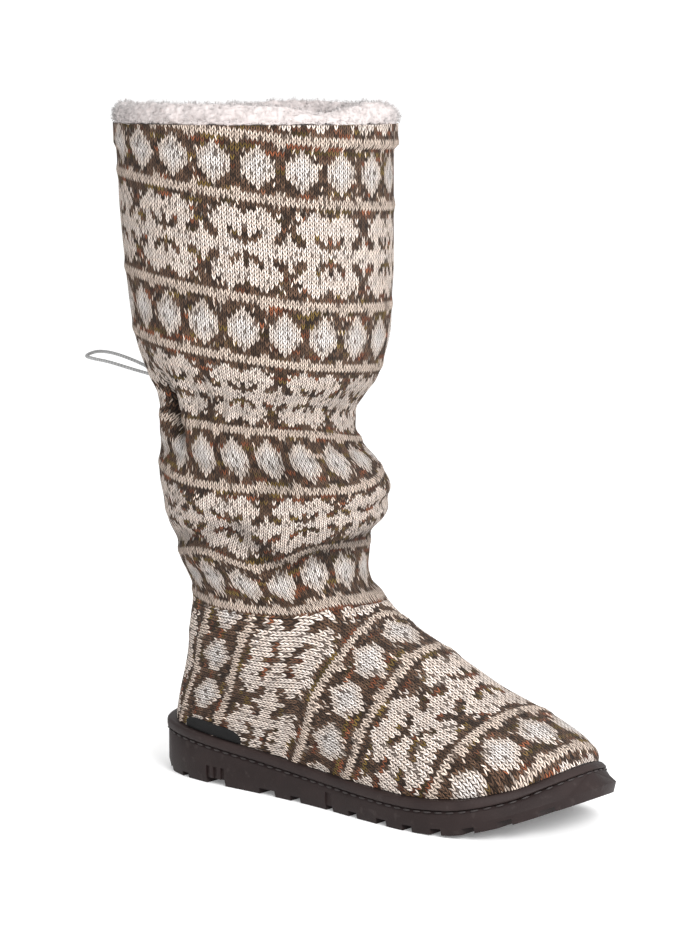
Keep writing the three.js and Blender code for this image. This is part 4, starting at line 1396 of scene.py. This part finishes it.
HALF_LOCK = LOCK_LENGTH / 2
BARREL = table("radius along", [
    (0.4, -HALF_LOCK),
    (LOCK_RADIUS - 1.9, -HALF_LOCK),
    (LOCK_RADIUS - 1.2, -HALF_LOCK + 0.2),
    (LOCK_RADIUS - 0.5, -HALF_LOCK + 0.8),
    (LOCK_RADIUS - 0.1, -HALF_LOCK + 1.7),
    (LOCK_RADIUS, -HALF_LOCK + 2.6),
    (LOCK_RADIUS, -HALF_LOCK + 3.6),
    (LOCK_RADIUS - 0.35, -HALF_LOCK + 3.9),
    (LOCK_RADIUS - 0.35, -HALF_LOCK + 4.3),
    (LOCK_RADIUS, -HALF_LOCK + 4.6),
    (LOCK_RADIUS, HALF_LOCK - 1.6),
    (LOCK_RADIUS - 0.25, HALF_LOCK - 0.6),
    (LOCK_RADIUS - 0.9, HALF_LOCK),
    (BORE_RADIUS + 0.2, HALF_LOCK),
    (BORE_RADIUS, HALF_LOCK - 0.2),
    (BORE_RADIUS, -HALF_LOCK + LOCK_FLOOR),
    (0.4, -HALF_LOCK + LOCK_FLOOR),
])
BUTTON_END = -HALF_LOCK + LOCK_FLOOR + BUTTON_TRAVEL + CORD_CLEAR
BUTTON_TIP = HALF_LOCK + BUTTON_PROUD
BUTTON = table("radius along", [
    (0.4, BUTTON_END),
    (BUTTON_RADIUS, BUTTON_END),
    (BUTTON_RADIUS, BUTTON_TIP - 1.2),
    (BUTTON_RADIUS - 0.3, BUTTON_TIP - 0.5),
    (BUTTON_RADIUS - 1.0, BUTTON_TIP),
    (BUTTON_RADIUS - 1.6, BUTTON_TIP - 0.1),
    (0.4, BUTTON_TIP - 0.35),
])

# The cord's route out of the waist and through the lock to the end of its loop, in the lock's frame.
CORD_ROUTE = table("out across up roll", [
    (-LOCK_RADIUS - 0.9, STRAND_OFFSET, 0, 0),
    (-LOCK_RADIUS + 2, STRAND_OFFSET, 0, 0),
    (0, STRAND_OFFSET, 0, 0),
    (LOCK_RADIUS, STRAND_OFFSET, 0, 0),
    (LOCK_RADIUS + 8, STRAND_OFFSET + 0.5, 0.1, 0.4),
    (LOCK_RADIUS + 22, STRAND_OFFSET + 1.7, 0, 1.3),
    (LOCK_RADIUS + LOOP_REACH - 18, LOOP_RADIUS - 0.9, -0.9, 1.5),
    (LOCK_RADIUS + LOOP_REACH - 7, LOOP_RADIUS, -2.4, 1.4),
    (LOCK_RADIUS + LOOP_REACH - 1.6, LOOP_RADIUS * 0.72, -3.4, 1.0),
    (LOCK_RADIUS + LOOP_REACH, 0, -3.8, 0),
])


def open_curve(points, steps):
    """A smooth open curve through points, with steps that follow the spacing of the points."""
    ends = np.concatenate([[2 * points[0] - points[1]], points, [2 * points[-1] - points[-2]]])
    knots = run_along(ends, 0.5)
    line = []
    for k in range(1, len(ends) - 2):
        blend, at = list(ends[k - 1 : k + 3]), knots[k - 1 : k + 3]
        t = np.linspace(at[1], at[2], steps, endpoint=False)[:, None]
        for starts, stops in ((at[:3], at[1:]), (at[:2], at[2:]), (at[1:2], at[2:3])):
            shares = [(t - start) / (stop - start) for start, stop in zip(starts, stops)]
            blend = [(1 - share) * a + share * b for share, a, b in zip(shares, blend, blend[1:])]
        line += blend
    return np.concatenate([*line, points[-1:]])


def draw_cord(material):
    """Elastic cord out of the waist, through the lock, round its loop and back."""
    out, across, up, roll = CORD_ROUTE.values()
    there = np.stack([-out, across, up + roll], 1)
    back = np.stack([-out, -across, up - roll], 1)[:-1][::-1]
    line = metres(from_lock(open_curve(np.concatenate([there, back]), 6)))
    data = bpy.data.curves.new("draw_cord_elastic", "CURVE")
    data.dimensions = "3D"
    data.bevel_depth = CORD_DIAMETER / 2000
    data.bevel_resolution = 4
    data.use_fill_caps = True
    spline = data.splines.new("POLY")
    spline.points.add(len(line) - 1)
    spline.points.foreach_set("co", np.column_stack([line, np.ones(len(line))]).ravel())
    data.materials.append(material)
    piece = stand_for(add_object("draw_cord_elastic", data), "draw_cord")


def aimed(name, data, place, aim):
    """A light or camera at a place, turned to look at its aim."""
    made = add_object(name, data)
    made.location = place
    made.rotation_euler = (Vector(aim) - Vector(place)).to_track_quat("-Z", "Y").to_euler()
    return made


# Place, size and power of each lamp, what they light, and the side of the room away from them.
LAMPS = {
    "key": ((1.6, -0.75, 1.1), 1.1, 40),
    "front": ((0.4, -1.9, 1.0), 1.2, 6),
}
LAMP_AIM = (0, 0, 0.18)
SHADE_SIDE = (-0.78, -0.62, 0)

# The camera's place, what it looks at and its lens.
CAMERA_PLACE = (0.9393, -1.1820, 0.372)
CAMERA_AIM = (0.0028, -0.0102, 0.170)
CAMERA_LENS = 115.3


def studio():
    """White floor and surround with soft light from the camera's right."""
    mesh = bpy.data.meshes.new("floor")
    reach = 14.0
    square = [(-reach, -reach, 0), (reach, -reach, 0), (reach, reach, 0), (-reach, reach, 0)]
    mesh.from_pydata(square, [], [(0, 1, 2, 3)])
    floor = add_object("floor", mesh)
    m = Maths("floor_white", 0.9, specular=0.1)
    m.colour((0.95, 0.95, 0.95, 1))
    m.shader.inputs["Emission Color"].default_value = (1, 1, 1, 1)
    m.shader.inputs["Emission Strength"].default_value = 0.16
    mesh.materials.append(m.material)

    world = bpy.data.worlds.new("studio")
    bpy.context.scene.world = world
    world.use_nodes = True
    sky = Nodes(world.node_tree)
    way = sky.new("ShaderNodeTexCoord", {}, "Generated")
    side = sky.new("ShaderNodeVectorMath", {0: way, 1: SHADE_SIDE}, "Value", operation="DOT_PRODUCT")
    fall = {"Value": side, "From Min": 0.2, "From Max": 0.95, "To Min": 1.08, "To Max": 0.46}
    background = sky.tree.nodes["Background"].inputs
    sky.put(background["Strength"], sky.new("ShaderNodeMapRange", fall, interpolation_type="SMOOTHSTEP"))
    sky.put(background["Color"], (1, 1, 1, 1))
    for name, (place, size, power) in LAMPS.items():
        data = bpy.data.lights.new(name, "AREA")
        data.shape = "DISK"
        data.size = size
        data.energy = power
        aimed(name, data, place, LAMP_AIM)
    bpy.context.scene.view_settings.view_transform = "Standard"


def camera():
    """The photo's place for the camera, aimed at the one boot with a longer lens."""
    data = bpy.data.cameras.new("camera")
    data.lens = CAMERA_LENS
    data.sensor_width = 36
    bpy.context.scene.camera = aimed("camera", data, CAMERA_PLACE, CAMERA_AIM)


def boot():
    """All pieces of the boot, with their materials."""
    knit = knit_material()
    fleece = fleece_material()
    plastic = plastic_material()
    sole = rubber_material("sole_rubber", SOLE_DEEP, SOLE_LIGHT)
    welt = rubber_material("welt_rubber", WELT_DEEP, WELT_LIGHT)
    shaft = knit_wall("knit_shaft", *SHAFT_GRID, seam_at, collar_at, shaft_fabric, [knit, fleece])
    stand_for(shaft, "shaft")
    upper = knit_wall("knit_foot", *FOOT_GRID, edge_at, seam_at, foot_fabric, [knit, fleece])
    stand_for(upper, "upper")
    fleece_cuff(fleece)
    insole_mesh(fleece)
    sole_mesh(sole)
    welt_mesh(welt)
    welt_stitches(thread_material())
    tab_mesh(woven_material())
    stand_for(cut_slot(turned("lock_barrel", BARREL, plastic), 0), "cord_lock")
    button = cut_slot(turned("lock_press_button", BUTTON, plastic), BUTTON_TRAVEL)
    stand_for(button, "cord_lock_button", "lock_button")
    draw_cord(elastic_material())


camera()
studio()
boot()
